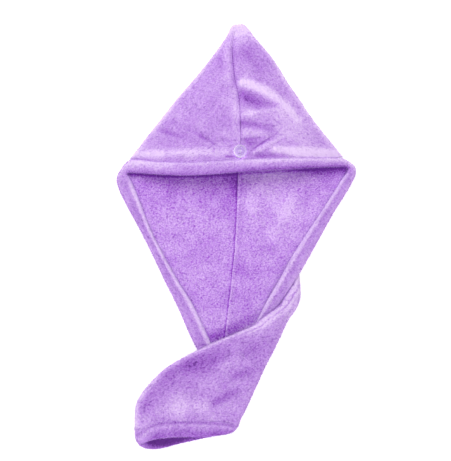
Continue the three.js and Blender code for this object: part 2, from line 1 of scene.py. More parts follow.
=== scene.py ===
# %% [markdown]
# # A hair turban towel of coral fleece, lying flat
# The towel is a pointed hood with a flat tail, sewn from two panels of lilac coral fleece. It lies on
# its back: the front of the hood is a triangle with a turned hem as its brim, the inside of the back
# shows through the face opening, and the tail is turned over to the left. A clear button sits on the
# brim. Each cell below makes one of these things, in the order in which a sewer would meet them.

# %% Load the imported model
import itertools, bpy, mathutils
import numpy as np
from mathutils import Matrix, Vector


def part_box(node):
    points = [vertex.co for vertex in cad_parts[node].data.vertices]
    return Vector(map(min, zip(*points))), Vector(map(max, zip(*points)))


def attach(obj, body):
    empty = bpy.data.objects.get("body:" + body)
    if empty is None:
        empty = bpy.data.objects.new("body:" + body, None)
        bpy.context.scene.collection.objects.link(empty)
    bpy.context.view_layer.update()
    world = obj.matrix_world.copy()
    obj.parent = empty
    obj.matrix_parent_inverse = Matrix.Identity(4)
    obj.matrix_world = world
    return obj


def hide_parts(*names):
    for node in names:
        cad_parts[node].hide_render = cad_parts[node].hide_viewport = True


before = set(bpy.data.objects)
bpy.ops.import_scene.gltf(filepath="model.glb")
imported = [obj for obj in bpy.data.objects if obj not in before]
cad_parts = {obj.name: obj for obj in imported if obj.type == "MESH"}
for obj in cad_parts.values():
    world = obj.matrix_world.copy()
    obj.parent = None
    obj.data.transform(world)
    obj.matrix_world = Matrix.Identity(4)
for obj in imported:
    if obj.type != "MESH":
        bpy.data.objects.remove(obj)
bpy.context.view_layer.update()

# %% [markdown]
# ## Sizes
# A sewer measures the towel lying flat. Its width and length carry every place on it: a place is
# written in per cent of the width and of the length, so the towel can be cut larger or smaller without
# touching the tables. Lengths are in millimetres here and turn into metres when a mesh is made.

# %% Real sizes, in millimetres
TOWEL_WIDTH, TOWEL_LENGTH = 360.0, 639.0
WALL = 3.0                  # one layer of fleece with its pile
SEWN = 0.02                 # panels that are sewn edge to edge touch, unlike the CAD solids
TUCK = 2.0                  # how far a panel reaches into the turned hem
FOLD_RADIUS = 2.5           # middle of the wall where the hood folds over at its sides
BRIM_LIFT = 20.0            # floor to the underside of the brim
HEM_THICKNESS = 7.0         # turned hem round the face opening
TAIL_HEIGHT = 21.0          # floor to the top of the tail at its mouth
TAIL_HEM_THICKNESS = 6.5
TAIL_EDGE_RADIUS, TAIL_ROLL = 3.0, 6.0
FOLD_DEPTH = 3.0            # depth of the deepest crease
SEAM_DIP, SEAM_REACH = 1.2, 5.0
MM = 0.001


def place(x, y, z=0.0):
    """Points in millimetres from x in per cent of the width, y in per cent of the length, and z."""
    return np.stack(np.broadcast_arrays(np.asarray(x) * TOWEL_WIDTH / 100,
                                        np.asarray(y) * TOWEL_LENGTH / 100, z), -1).astype(float)


def table(names, rows):
    """A table as a dictionary of named columns."""
    return dict(zip(names.split(), np.array(rows, float).T))


def places(rows, edge, z=0.0):
    """Points from the columns edge_x and edge_y of a table."""
    return place(rows[edge + "_x"], rows[edge + "_y"], z)


print("towel", TOWEL_WIDTH, "by", TOWEL_LENGTH, "mm")


# %% Formulas that come back all through
def norm(v):
    """Length of each vector."""
    return np.linalg.norm(v, axis=-1)


def unit(v):
    """Each vector at length 1."""
    return v / np.maximum(norm(v)[..., None], 1e-9)


def run_of(line):
    """How far along a line of points each one is."""
    return np.cumsum(np.r_[0, norm(np.diff(line, axis=0))])


def blend_between(a, b, t):
    """The point at share t of the way from a to b."""
    return a + (b - a) * t


def bell(x, middle, reach):
    """exp(-((x - middle) / reach) squared): 1 in the middle and fading to both sides."""
    return np.exp(-((x - middle) / reach) ** 2)


def smoothstep(x, low, high):
    """0 below low, 1 above high, and 3t^2 - 2t^3 between them."""
    t = np.clip((x - low) / (high - low), 0, 1)
    return t * t * (3 - 2 * t)


def plateau(x, start, full, fall, end):
    """Rises from 0 at start to 1 at full, and falls from 1 at fall to 0 at end."""
    return smoothstep(x, start, full) * (1 - smoothstep(x, fall, end))


print("a bell at its reach:", bell(1, 0, 1).round(3))

# %% [markdown]
# ## The cutting tables
# These are the outlines of the panels as they lie: the edges and the middle seam of the hood, the back
# seam, both edges of the face hem, and the edges of the tail. This script can't read the CAD source, so
# they stand here again: each piece has to lie where its solid does. Only the corners under the brim, the
# start of the flap and the hem of the tail are drawn closer to the real towel than in the CAD.

# %% Outline of the hood and of the back
CROWN = table("left_x left_y seam_x seam_y right_x right_y", [
    (0.2, 50, -0.8, 48.1, 0.2, 50), (-1.2, 49.9, -1.3, 46.9, 3.1, 50),
    (-2.9, 48.3, -1.7, 45.3, 5, 49), (-5.2, 46.2, -1.7, 43.4, 8.1, 46.7),
    (-10, 42.5, -1.4, 40.6, 14.8, 42.2), (-15.2, 38.7, -0.8, 37.8, 18.6, 38.9),
    (-20.2, 35.4, 0.2, 35, 22.1, 35.7), (-25.2, 32.1, 1.2, 32.1, 26.1, 32.5),
    (-31.2, 27.8, 1.6, 27.9, 31.3, 28.1), (-37.7, 23.2, 1.8, 23.7, 36.9, 24),
    (-41.4, 20.5, 1.8, 20.6, 41.1, 21.1), (-44.4, 18.3, 1.8, 18.3, 44.6, 18.8)])
BACK_SEAM = table("x y", [
    (0.2, 50), (-0.8, 48.1), (-1.7, 44.3), (0.2, 32.1), (1.1, 18.5), (1.1, 15), (0.7, 7),
    (-0.2, -2.6), (-1.9, -12), (-3.9, -21.2), (-4.4, -24.2), (-4.7, -26.4), (-5.2, -28.7),
    (-5.9, -31.2), (-7.5, -34.3)])
BACK_TOP = table("left_x right_x y", [(-42.4, 42.9, 18.4), (-44.6, 46.0, 17.4), (-45.9, 47.3, 16.2)])
BACK_BOTTOM = {"left": table("x y", [(-9.2, -27.6), (-10.2, -30.0), (-11.0, -31.6)]),
               "right": table("x y", [(4.8, -23.7), (2.6, -25.2)])}
print(len(CROWN["left_x"]), "rows for the hood,", len(BACK_SEAM["x"]), "for the back seam")

# %% Outline of the face hem: up the left side, along the brim, down the right side
FACE_HEM = table("outer_x outer_y inner_x inner_y lift", [
    (-15.4, -27.6, -9.8, -26.2, 0), (-19.1, -23.5, -12.5, -22.8, 0), (-24.8, -16.2, -18.2, -16.1, 0),
    (-30.2, -10.1, -24.4, -10.5, 0), (-36.9, -2.1, -32.1, -2.7, 0), (-41.5, 2.9, -36.2, 2, 0),
    (-45.8, 7.3, -39.8, 7.3, 0), (-49.1, 11.2, -42.9, 11.7, 0.02), (-50, 13.7, -44.9, 14.2, 0.07),
    (-48.4, 15.7, -45.6, 14.9, 0.13), (-46.4, 17.2, -44.8, 15.1, 0.18), (-43.9, 18.2, -42.7, 15.1, 0.26),
    (-32.7, 17.7, -32.7, 14.7, 0.62), (-21, 17.5, -21, 14.4, 0.87), (-9.8, 17.8, -9.8, 14.7, 0.97),
    (1.8, 18.1, 1.8, 15.2, 1), (12.3, 18.3, 12.3, 15.6, 0.96), (23.1, 18.5, 23.1, 15.9, 0.84),
    (33.6, 18.5, 33.6, 16.3, 0.6), (44.2, 18.4, 43.3, 16.5, 0.26), (47.1, 17.6, 45.2, 16.5, 0.18),
    (49.3, 16.6, 46.4, 16.2, 0.13), (50, 15.3, 46.3, 15.4, 0.07), (47.9, 12.3, 43.4, 12.9, 0.02),
    (40.6, 5.6, 35.9, 6.2, 0), (33.4, -1.7, 27.9, -0.5, 0), (28.6, -6.5, 22.9, -5, 0.05),
    (25.2, -9.6, 19.4, -8.6, 0.18), (22.5, -12, 16.5, -11.5, 0.18), (20.1, -14.1, 14, -13.9, 0.18),
    (17.6, -16.1, 11.7, -16.3, 0.18), (14, -18.4, 9.4, -19, 0.18), (10.6, -20.9, 6.7, -22.1, 0.18)])
HEM_SPANS = len(FACE_HEM["lift"]) - 1
BRIM_ROWS = {"left": 11, "middle": 15, "right": 19}
HEM_TOP = {"left": 8.5, "right": 21.5}
print(HEM_SPANS + 1, "rows for the face hem")

# %% Outline of the tail, from the flap at the right side hem to its mouth
TAIL = table("left_x left_y right_x right_y foot_x foot_y lip left right", [
    (24.9, -8.9, 26.3, -8.8, 18.6, -10, 0.14, 0.24, 0.22),
    (23.5, -11.2, 26.6, -11.2, 17.3, -11.5, 0.2, 0.36, 0.34),
    (22.5, -12.2, 26.7, -12.1, 15.6, -12.8, 0.2, 0.42, 0.38),
    (20.2, -14.2, 26.6, -14.4, 13.2, -14.8, 0.25, 0.52, 0.45),
    (18, -16.1, 25.4, -16.4, 10.8, -16.8, 0.35, 0.64, 0.55),
    (14.8, -17.5, 23.4, -18.1, 8.6, -18.6, 0.53, 0.76, 0.6),
    (10.6, -19.2, 21.5, -19.7, 5.6, -20.4, 0.54, 0.78, 0.62),
    (7.1, -20.9, 20, -21.3, 1, -22.2, 0.54, 0.78, 0.62),
    (-2.3, -23.3, 18.2, -23.6, -4.4, -24.2, 0.5, 0.76, 0.62),
    (-10.6, -25.3, 16.3, -25.8, -4.7, -26.4, 0.42, 0.7, 0.62),
    (-16, -26.8, 14.1, -28.3, -5.2, -28.7, 0.38, 0.66, 0.62),
    (-22.7, -28.7, 11.7, -30.9, -5.9, -31.2, 0.37, 0.64, 0.62),
    (-29.4, -31, 9, -34.3, -7.5, -34.3, 0.38, 0.66, 0.62),
    (-34.4, -33.6, 6.1, -37.8, -9.6, -37.8, 0.4, 0.7, 0.62),
    (-39.1, -36.6, 3.8, -40.6, -11.2, -40.9, 0.42, 0.74, 0.64),
    (-41.8, -39.7, 1.7, -42.9, -12.5, -43, 0.44, 0.78, 0.66),
    (-42.2, -45, 0.6, -44.7, -13.1, -44.5, 0.45, 0.8, 0.68)])
TAIL_CLOSED, TAIL_PUFF = 10.9, 0.1
TAIL_HEM = table("stitch_x stitch_y mouth_x mouth_y height", [
    (0.4, -44.1, -2.4, -45.8, 0.45), (-1.4, -43.9, -4.4, -46.2, 0.71),
    (-6, -43.4, -9, -46.6, 0.81), (-13.1, -43, -15.6, -46.9, 0.83),
    (-20.2, -42.8, -22.3, -46.8, 0.85), (-26.8, -42.8, -28.5, -47, 0.85),
    (-32.7, -43.1, -34, -47.4, 0.83), (-37.7, -43.9, -37.5, -48, 0.78),
    (-40.6, -44.6, -39.8, -48.5, 0.67), (-41.8, -44.4, -41.1, -48.1, 0.47),
    (-40.9, -43.9, -40.1, -49.3, 0.27), (-37.7, -43.75, -36.2, -50, 0.16),
    (-32.7, -43.75, -31.9, -49.9, 0.16), (-26.8, -43.85, -24.2, -48.8, 0.16),
    (-19.4, -43.95, -16.4, -47.8, 0.16), (-11, -44.05, -9.8, -47, 0.16),
    (-3.5, -44.15, -5.2, -46.4, 0.19), (-0.4, -44.15, -2.9, -46, 0.3)])
print(len(TAIL["lip"]), "rows for the tail,", len(TAIL_HEM["height"]), "round its mouth")

# %% [markdown]
# ## Folds
# Cloth that has been worn and laid down keeps soft creases: a ridge and hollows beside the seam on the
# right, faint waves on the left, soft waves inside the back and across the tail. Each is a line with a
# reach to both sides, a bow and a height in shares of the deepest crease.

# %% Fold tables
FOLD_NAMES = "x0 y0 x1 y1 bow reach height"
CROWN_FOLDS = table(FOLD_NAMES, [
    (2.7, 35.9, 25, 27.5, 2.6, 1.7, 0.8), (2.4, 33.6, 18.2, 30.7, -1.2, 2.3, -0.7),
    (3.6, 28.8, 19, 30.3, -0.6, 1.4, 0.45), (2.3, 26.7, 17.3, 24.4, 0.8, 1.6, -0.6),
    (4, 24.6, 12.3, 24, 0, 1.1, 0.45), (9, 18.9, 20.7, 19.2, 0, 1.3, -0.5),
    (16, 20.4, 39, 19.4, 0, 1.6, 0.4), (-3.9, 45, -3.3, 34.6, 0, 2, 0.5),
    (-6.9, 43.9, -5.6, 39.2, 0, 1.8, -0.6), (-31.4, 25.1, -21.8, 23.2, 0, 1.1, -0.6),
    (-27.7, 27.4, -15.6, 24.2, 0, 1.1, -0.35), (-15.2, 23.7, -8.9, 21.8, 0, 1, -0.45),
    (-43.5, 19, -19.3, 19.7, 0, 1.4, 0.5), (-19.3, 19.7, -1.8, 19.5, 0, 1.4, 0.3)])
CREASES = table(FOLD_NAMES, [      # sharper, shallower lines than the folds
    (7.1, 20.5, 16.9, 24.3, 0, 0.6, -0.5), (7.3, 19.7, 17.7, 23, 0, 0.6, 0.4),
    (9.4, 19.3, 17.7, 21.8, 0, 0.5, -0.25), (3.2, 22.9, 11.5, 23.2, 0, 0.8, -0.5),
    (4.4, 22, 10.7, 22, 0, 1, -0.5), (-6, 23, -0.6, 22.6, -0.8, 0.8, -0.4),
    (-24, 25, -13.5, 20.6, 0, 1.1, -0.2), (3, 44.6, 9.5, 39, 0, 1.4, -0.25)])
BACK_FOLDS = table(FOLD_NAMES, [
    (8.1, 11, 8.1, 2.1, 0, 3.2, 0.7), (16, 1.2, 25.6, 11.5, 0, 3.5, 0.8),
    (-29.8, 5.1, -11, 4, 0, 5, 0.4)])
TAIL_FOLDS = table(FOLD_NAMES, [
    (-33.9, -31.5, 9, -26.5, 0, 3.5, -0.6), (-25.6, -39.5, -4.8, -38.8, 0, 4, 0.6),
    (-9.3, -38.8, 0.7, -35.9, 0, 1.8, -0.5), (23.8, -14.3, 18.6, -18.1, 0, 1, -0.5)])

# %% Painted light and shade: lines with a reach, and how much lighter or darker the cloth is painted there
# painted highlights at the tip, above the brim and along the ridges, painted shade in the hollows and a
# painted shadow just below the button
CROWN_PAINTED_LIGHT = table(FOLD_NAMES, [
    (0.5, 50, 1.5, 47, 0, 4, 0.8), (43.6, 19.3, 16, 20.4, 0, 1.7, 0.85),
    (-42, 19.6, -4, 19.9, 0, 1.8, 0.35), (18, 28, 32, 21, 0, 7, 0.22),
    (-28, 27, -14, 24, 0, 9, 0.08), (5, 43, 12, 38, 0, 5, -0.12),
    (-0.9, 34, 0.9, 20, 0, 1.8, 0.24), (-4.2, 18.8, 2, 18.7, 0, 0.6, -0.5),
    (2.7, 36.4, 25.5, 27.4, 2.6, 1.6, 0.45), (4.2, 32.6, 16.5, 30.9, -0.8, 3, -0.2),
    (5.6, 29.1, 18.1, 30, 0, 1.2, 0.2), (3, 26.4, 14, 25.3, 0.5, 1.7, -0.26),
    (3.6, 22.7, 10.6, 23.2, 0, 0.8, -0.2), (5.6, 21.6, 11.9, 22.5, 0, 1.2, -0.22),
    (6.9, 20.5, 16.9, 24.3, 0, 0.4, -0.2), (9, 18.9, 20.7, 19.2, 0, 1.2, -0.12),
    (-2, 44, -1, 35, 0, 1.1, -0.2), (-31.4, 25.1, -21.8, 23.2, 0, 1.1, -0.2),
    (-15.2, 23.7, -8.9, 21.8, 0, 1, -0.2)])
# painted shade under the brim and along its edge, painted highlights and shade on the waves, and painted
# shade beside the rim of the tail
BACK_PAINTED_LIGHT = table(FOLD_NAMES, [
    (-44.8, 14.9, 1.8, 14.95, -1.1, 0.65, -0.75), (44.6, 16.4, 1.8, 15, 0, 0.7, -0.8),
    (1, 15.2, -44, 14.8, 0, 11, -0.34), (3, 14.6, 22, 15.4, 0, 4, 0.2),
    (45.8, 15.9, 22, 15.3, 0, 2.2, -0.45),
    (-13.1, -24.4, 9, -19, 0, 2.2, -0.42), (5.6, 8.7, 10.6, 4, 0, 3.5, 0.2),
    (16, 11, 26.5, 1.6, 0, 5, 0.2), (14, 12, 18, 8.7, 0, 2.5, -0.16),
    (9, 12.5, 20, 5.5, 0, 3.5, 0.14),
    (1.5, -7.8, 7.7, -11.3, 0, 4, -0.2), (42, 13, 28, 13, 0, 6, -0.14)])
# painted highlights and painted shade across the tail and along its folds
TAIL_PAINTED_LIGHT = table(FOLD_NAMES, [
    (-38.1, -40.2, -18.9, -30.3, 2.5, 4, -0.24), (-18.9, -30.3, -1.8, -27, 0, 4.6, -0.24),
    (-36, -41.6, -8.9, -39, 0, 4.6, 0.14), (-9.3, -38.8, 0.7, -35.9, 0, 1.6, -0.3),
    (-1, -32.9, 6.5, -30.8, 0, 1.6, -0.25), (-6, -30.3, 1.5, -28, 0, 2, 0.14),
    (5.7, -26.5, 18.2, -20, 0, 2.6, -0.14)])


def fold_height(folds, points):
    """Sum over the rows of height x bell(distance to the line, reach), 0.6 weaker at the second end:
    folds as shares of FOLD_DEPTH, painted light and shade as brightness. The line is a parabola whose
    middle lies bow to the left of the straight way between its ends."""
    total = np.zeros(points.shape[:-1])
    for x0, y0, x1, y1, bow, reach, height in zip(*folds.values()):
        start = place(x0, y0)[:2]
        along = place(x1, y1)[:2] - start
        length = norm(along)
        ahead = (points[..., :2] - start) @ along / length
        left = (points[..., :2] - start) @ np.array([-along[1], along[0]]) / length
        share = np.clip(ahead / length, 0, 1)
        bowed = 4 * share * (1 - share) * bow * TOWEL_WIDTH / 100
        distance = np.hypot(left - bowed, ahead - share * length)
        total += height * (1 - 0.6 * share ** 2) * bell(distance, 0, reach * TOWEL_WIDTH / 100)
    return total


print("folds:", *(len(rows["x0"]) for rows in (CROWN_FOLDS, CREASES, BACK_FOLDS, TAIL_FOLDS)))

# %% [markdown]
# ## Smooth edges
# A cut edge of soft cloth never has corners where the tape measure was put down. Each table becomes a
# curve that runs smoothly through its rows, and every surface is spanned between such curves.


# %% A smooth curve through the rows of a table
def rail(rows, closed=False):
    """Between two rows a cubic, whose slope at each row comes from its neighbours, weighed by the
    square root of their distance."""
    spans = len(rows) if closed else len(rows) - 1
    ends = (rows[-1:], rows[:2]) if closed else (2 * rows[:1] - rows[1:2], 2 * rows[-1:] - rows[-2:-1])
    rows = np.vstack([ends[0], rows, ends[1]])

    def at(row):
        """The rail's point at a row, or at any share of the way between two."""
        row = np.clip(np.asarray(row, float), 0, spans)
        k = np.minimum(row.astype(int), spans - 1)
        w = (row - k)[..., None]
        p0, p1, p2, p3 = (rows[k + n] for n in range(4))
        d0, d1, d2 = (np.sqrt(norm(step))[..., None] for step in (p1 - p0, p2 - p1, p3 - p2))
        slope1 = ((p1 - p0) / d0 - (p2 - p0) / (d0 + d1) + (p2 - p1) / d1) * d1
        slope2 = ((p2 - p1) / d1 - (p3 - p1) / (d1 + d2) + (p3 - p2) / d2) * d1
        return (p1 + w * slope1 + w ** 2 * (-3 * p1 + 3 * p2 - 2 * slope1 - slope2)
                + w ** 3 * (2 * p1 - 2 * p2 + slope1 + slope2))

    return at


HEM_MIDDLE = FACE_HEM["lift"] * BRIM_LIFT + HEM_THICKNESS / 2
hem_outer, hem_inner = (rail(places(FACE_HEM, edge, HEM_MIDDLE)) for edge in ("outer", "inner"))


def back_seam(y):
    """Points on the back seam at a given y, straight between its rows."""
    rows = place(BACK_SEAM["x"], BACK_SEAM["y"])[::-1]
    return np.stack([np.interp(y, rows[:, 1], rows[:, 0]), y, np.full_like(y, WALL / 2)], -1)


print("brim, mm:", hem_outer(BRIM_ROWS["middle"]).round(1))

# %% [markdown]
# ## The pile
# Coral fleece has a knitted ground whose brushed and sheared pile curls into tufts about 3 mm across,
# pale at their tips and deep lilac in the gaps. No export keeps hair particles, so the tufts are a
# height over the cloth: the distance to the nearest of many scattered tuft centres.

# %% Tufts and slow unevenness
TUFT_PITCH = 2.6            # mm between tufts; they lie in rows, a third wider than high
PILE_RELIEF = 0.9           # mm from the gaps between tufts up to their tips
TUFT_STRETCH = (0.85, 1.1)  # the chart's two directions, which makes them so
WANDER_PITCH, SLOW_PITCH = 6.0, 17.0        # mm between changes in the rows and in the brightness
CLOTH_WANDER, HEM_WANDER = 2.8, 1.6         # mm over which a row of tufts strays
CLOTH_SLOW, HEM_SLOW = 0.24, 0.2            # how much the brightness changes slowly
MEAN_LIGHT, MEAN_TUFT = 0.47, 0.62          # brightness of plain pile, and the tuft height that has it
FLOOR_GAP = 0.05            # mm that the lowest pile keeps above the floor
FINENESS = 1.0


def lattice_noise(points, pitch, seed):
    """Random heights on a cubic lattice of that pitch, blended smoothly between its corners: 0 to 1."""
    heights = np.random.default_rng(seed).random((32, 32, 32))
    cell = np.floor(points / pitch).astype(int)
    w = points / pitch - cell
    w = w * w * (3 - 2 * w)
    total = np.zeros(points.shape[:-1])
    for corner in itertools.product((0, 1), repeat=3):
        c = (cell + corner) % 32
        weight = np.prod(np.where(np.array(corner) == 1, w, 1 - w), axis=-1)
        total += weight * heights[c[..., 0], c[..., 1], c[..., 2]]
    return total


def wander(points, seed):
    """Slow shifts to both sides, -0.5 to 0.5, that keep the rows of tufts from lining up."""
    return np.stack([lattice_noise(points, WANDER_PITCH, seed + n) for n in (1, 2)], -1) - 0.5


def tufts(chart, pitch, seed, around=512):
    """One tuft centre at a random place in each square of side pitch on the unrolled cloth, and the height
    is 1 less the squared distance to the nearest centre, in shares of 1.05 pitch. On a hem, around is
    the number of squares after which the pattern closes on itself."""
    scatter = np.random.default_rng(seed).random((512, 512, 2))
    cell = np.floor(chart / pitch).astype(int)
    nearest = np.full(chart.shape[:-1], 1e9)
    for step in itertools.product((-1, 0, 1), repeat=2):
        c = cell + step
        centre = (c + scatter[c[..., 0] % 512, c[..., 1] % around]) * pitch
        nearest = np.minimum(nearest, ((chart - centre) ** 2).sum(-1))
    return np.clip(1 - nearest / (1.05 * pitch) ** 2, 0, 1)


print("tufts every", TUFT_PITCH, "mm,", PILE_RELIEF, "mm deep, fineness", FINENESS)

# %% [markdown]
# ## From a surface to a piece of cloth
# A layer of fleece is a thin slab. Its middle surface is a grid of points; the outer side stands half
# a wall above it with the tufts on it, the inner side half a wall below on a coarser grid, and a rim
# joins the two all round so that the piece is closed like the real, thick cloth.


# %% Direction that a grid faces
def facing(grid, wrap=False):
    """Unit normal at each point: across the difference of its neighbours along and across the grid."""
    around = np.roll(grid, -1, 1) - np.roll(grid, 1, 1) if wrap else np.gradient(grid, axis=1)
    return unit(np.cross(np.gradient(grid, axis=0), around))


def stand_upright(normal, grid, edges):
    """At the named edges the normal loses its part across the border, so that the end face is square
    to the neighbouring piece."""
    along, across = np.gradient(grid, axis=0), np.gradient(grid, axis=1)
    for edge in edges:
        cut = {"first": np.s_[0], "last": np.s_[-1], "left": np.s_[:, 0], "right": np.s_[:, -1]}[edge]
        border = (across if edge in ("first", "last") else along)[cut]
        level = unit(np.stack([-border[:, 1], border[:, 0], 0 * border[:, 0]], -1))
        normal[cut] = unit(normal[cut] - (normal[cut] * level).sum(-1, keepdims=True) * level)
    return normal


# %% Put a mesh together
def quads_of(index, around=False, closed=False, flip=False):
    """The four corners of every cell in a grid of point numbers, whose columns may close around and
    whose rows may close in a ring."""
    if around:
        index = np.concatenate([index, index[:, :1]], 1)
    if closed:
        index = np.concatenate([index, index[:1]])
    corners = [index[:-1, :-1], index[:-1, 1:], index[1:, 1:], index[1:, :-1]]
    return np.stack([corners[n] for n in ((0, 3, 2, 1) if flip else (0, 1, 2, 3))], -1).reshape(-1, 4)


def fan(ring, end, flip=False):
    """Triangles from each side of a ring of point numbers to one end point."""
    sides = [np.roll(ring, -1), ring] if flip else [ring, np.roll(ring, -1)]
    return np.stack(sides + [np.full(len(ring), end)], -1)


def make_piece(name, points, quads, triangles, light, material):
    """A mesh object from points in mm and faces, with the brightness of the pile, its grain together with
    the painted light and shade, as an attribute. The floor stops the points that would sink into it,
    and all faces are turned to look outwards."""
    points[:, 2] = np.maximum(points[:, 2], FLOOR_GAP)
    volume = 0
    for faces, corners in ((triangles, (0, 1, 2)), (quads, (0, 1, 2)), (quads, (0, 2, 3))):
        a, b, c = (points[faces[:, n]] for n in corners)
        volume += np.einsum("ij,ij->", a, np.cross(b, c))
    if volume < 0:
        quads, triangles = quads[:, ::-1], triangles[:, ::-1]
    corners = np.concatenate([quads.ravel(), triangles.ravel()]).astype(np.int32)
    starts = np.concatenate([4 * np.arange(len(quads)), 4 * len(quads) + 3 * np.arange(len(triangles))])
    mesh = bpy.data.meshes.new(name)
    mesh.vertices.add(len(points))
    mesh.vertices.foreach_set("co", (points * MM).astype(np.float32).ravel())
    mesh.loops.add(len(corners))
    mesh.loops.foreach_set("vertex_index", corners)
    mesh.polygons.add(len(starts))
    mesh.polygons.foreach_set("loop_start", starts.astype(np.int32))
    mesh.polygons.foreach_set("use_smooth", np.ones(len(starts), bool))
    mesh.update(calc_edges=True)
    brightness = mesh.attributes.new("pile_light", "FLOAT", "POINT")
    brightness.data.foreach_set("value", light.astype(np.float32).ravel())
    mesh.materials.append(material)
    piece = bpy.data.objects.new(name, mesh)
    bpy.context.scene.collection.objects.link(piece)
    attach(piece, "root")
    print(name, len(quads) * 2 + len(triangles), "triangles,", round(abs(volume) / 6e3, 1), "cm3")
    return piece

# %% [markdown]
# ## Colours of the fleece
# The cloth is polyester coral fleece, dyed lilac in the piece. The tips of its pile scatter light and
# look almost pink-white, most of all where one looks along the cloth: sheen does that in the shader.
# The gaps stay deep lilac. Dye has no pattern of its own, so the whole colour comes from the pile and
# from painted light and shade: painted highlights on ridges and edges, painted shade in hollows, in
# seams and under the brim.


# %% Shader helpers
def linear(hex_colour):
    """An sRGB hex colour as linear red, green, blue and alpha 1."""
    share = np.array([int(hex_colour[n:n + 2], 16) for n in (1, 3, 5)]) / 255
    return (*np.where(share <= 0.04045, share / 12.92, ((share + 0.055) / 1.055) ** 2.4), 1.0)


def new_material(name):
    """A material and its emptied node tree."""
    material = bpy.data.materials.new(name)
    material.use_nodes = True
    material.node_tree.nodes.clear()
    return material, material.node_tree


def add_node(tree, kind, inputs=None, **settings):
    """Adds a node. An input given as (node, output) is linked, any other is a value."""
    node = tree.nodes.new("ShaderNode" + kind)
    for key, value in settings.items():
        setattr(node, key, value)
    for key, value in (inputs or {}).items():
        if isinstance(value, tuple) and isinstance(value[0], bpy.types.Node):
            tree.links.new(value[0].outputs[value[1]], node.inputs[key])
        else:
            node.inputs[key].default_value = value
    return node


def add_surface(tree, inputs):
    """Ends a node tree in a principled surface with these inputs."""
    skin = add_node(tree, "BsdfPrincipled", inputs)
    add_node(tree, "OutputMaterial", {"Surface": (skin, "BSDF")})


def colour_ramp(tree, source, stops):
    """Turns a share into a colour, by (position, hex colour) pairs."""
    ramp = add_node(tree, "ValToRGB", {"Fac": source})
    elements = ramp.color_ramp.elements
    while len(elements) < len(stops):
        elements.new(0.5)
    for element, (position, colour) in zip(elements, stops):
        element.position, element.color = position, linear(colour)
    return ramp, "Color"


# %% Brushed coral fleece
def coral_fleece(name, curl, deep, gap, body, tip, sheen):
    """Dyed and brushed polyester coral fleece: matt, with a soft sheen; its colour runs from the deep
    colour of painted shade in seams, in the mouth and under the brim, over the gaps between the tufts
    and the body of the pile to its tips, which painted highlights reach too. Curl is how much the
    single curls stand out: more on the inside, which isn't brushed as often."""
    material, tree = new_material(name)
    pile = add_node(tree, "Attribute", attribute_name="pile_light")
    where = add_node(tree, "TexCoord")
    # single fibres are 0.02 mm thick; they are drawn as locks of about 0.9 mm so that they show
    locks = add_node(tree, "TexNoise", {"Vector": (where, "Object"), "Scale": 1100, "Detail": 3,
                                        "Roughness": 0.65}, noise_dimensions="3D")
    # the curls lie across the cloth: cells of about 2 mm, half as long again as high
    lying = add_node(tree, "Mapping", {"Vector": (where, "Object"), "Scale": (0.8, 1.2, 1.0)})
    curls = add_node(tree, "TexVoronoi", {"Vector": (lying, "Vector"), "Scale": 480}, voronoi_dimensions="3D")
    fine = add_node(tree, "Math", {0: (locks, "Fac"), 1: 0.6, 2: -0.3}, operation="MULTIPLY_ADD")
    curled = add_node(tree, "Math", {0: (curls, "Distance"), 1: -curl, 2: (fine, 0)},
                      operation="MULTIPLY_ADD")
    total = add_node(tree, "Math", {0: (pile, "Fac"), 1: (curled, 0)}, operation="ADD")
    bright = add_node(tree, "Math", {0: (total, 0), 1: 0.8, 2: 0.2 + 0.42 * curl}, operation="MULTIPLY_ADD")
    # the deep colour is reached only where painted shade lowers the brightness
    colour = colour_ramp(tree, (bright, 0), [(0.0, deep), (0.2, gap), (0.6, body), (1.0, tip)])
    bump = add_node(tree, "Bump", {"Height": (locks, "Fac"), "Strength": 0.7, "Distance": 0.0006})
    add_surface(tree, {"Base Color": colour, "Normal": (bump, "Normal"), "Roughness": 0.95, "IOR": 1.5,
                       "Specular IOR Level": 0.15, "Sheen Weight": sheen, "Sheen Roughness": 0.45,
                       "Sheen Tint": linear("#F3DDFF")})
    return material


FLEECE = coral_fleece("brushed_coral_fleece", 0.44, "#743A9E", "#A161CD", "#C99CEA", "#EED4FE", 0.35)
INNER_FLEECE = coral_fleece("curled_inside_of_coral_fleece", 0.8,
                            "#8038B2", "#A354D5", "#CA99ED", "#EACBFE", 0.18)
HEM_FLEECE = coral_fleece("turned_coral_fleece_hem", 0.5, "#74389E", "#A060CD", "#CA9DEB", "#EED4FE", 0.4)
print("materials:", FLEECE.name, INNER_FLEECE.name, HEM_FLEECE.name)

# %% Cloth slab
pile_beds = {}              # outer surface, normal, brightness and closing of each piece, for its fibres
SEAM_THIN = 2.5             # mm from a seam edge over which the pile thins out
SEAM_WALL = 0.6             # share of the wall that is left at the seam
BACK_PITCH, BACK_RELIEF = 1.2, 0.6          # the unseen side's tufts, in shares of the seen ones


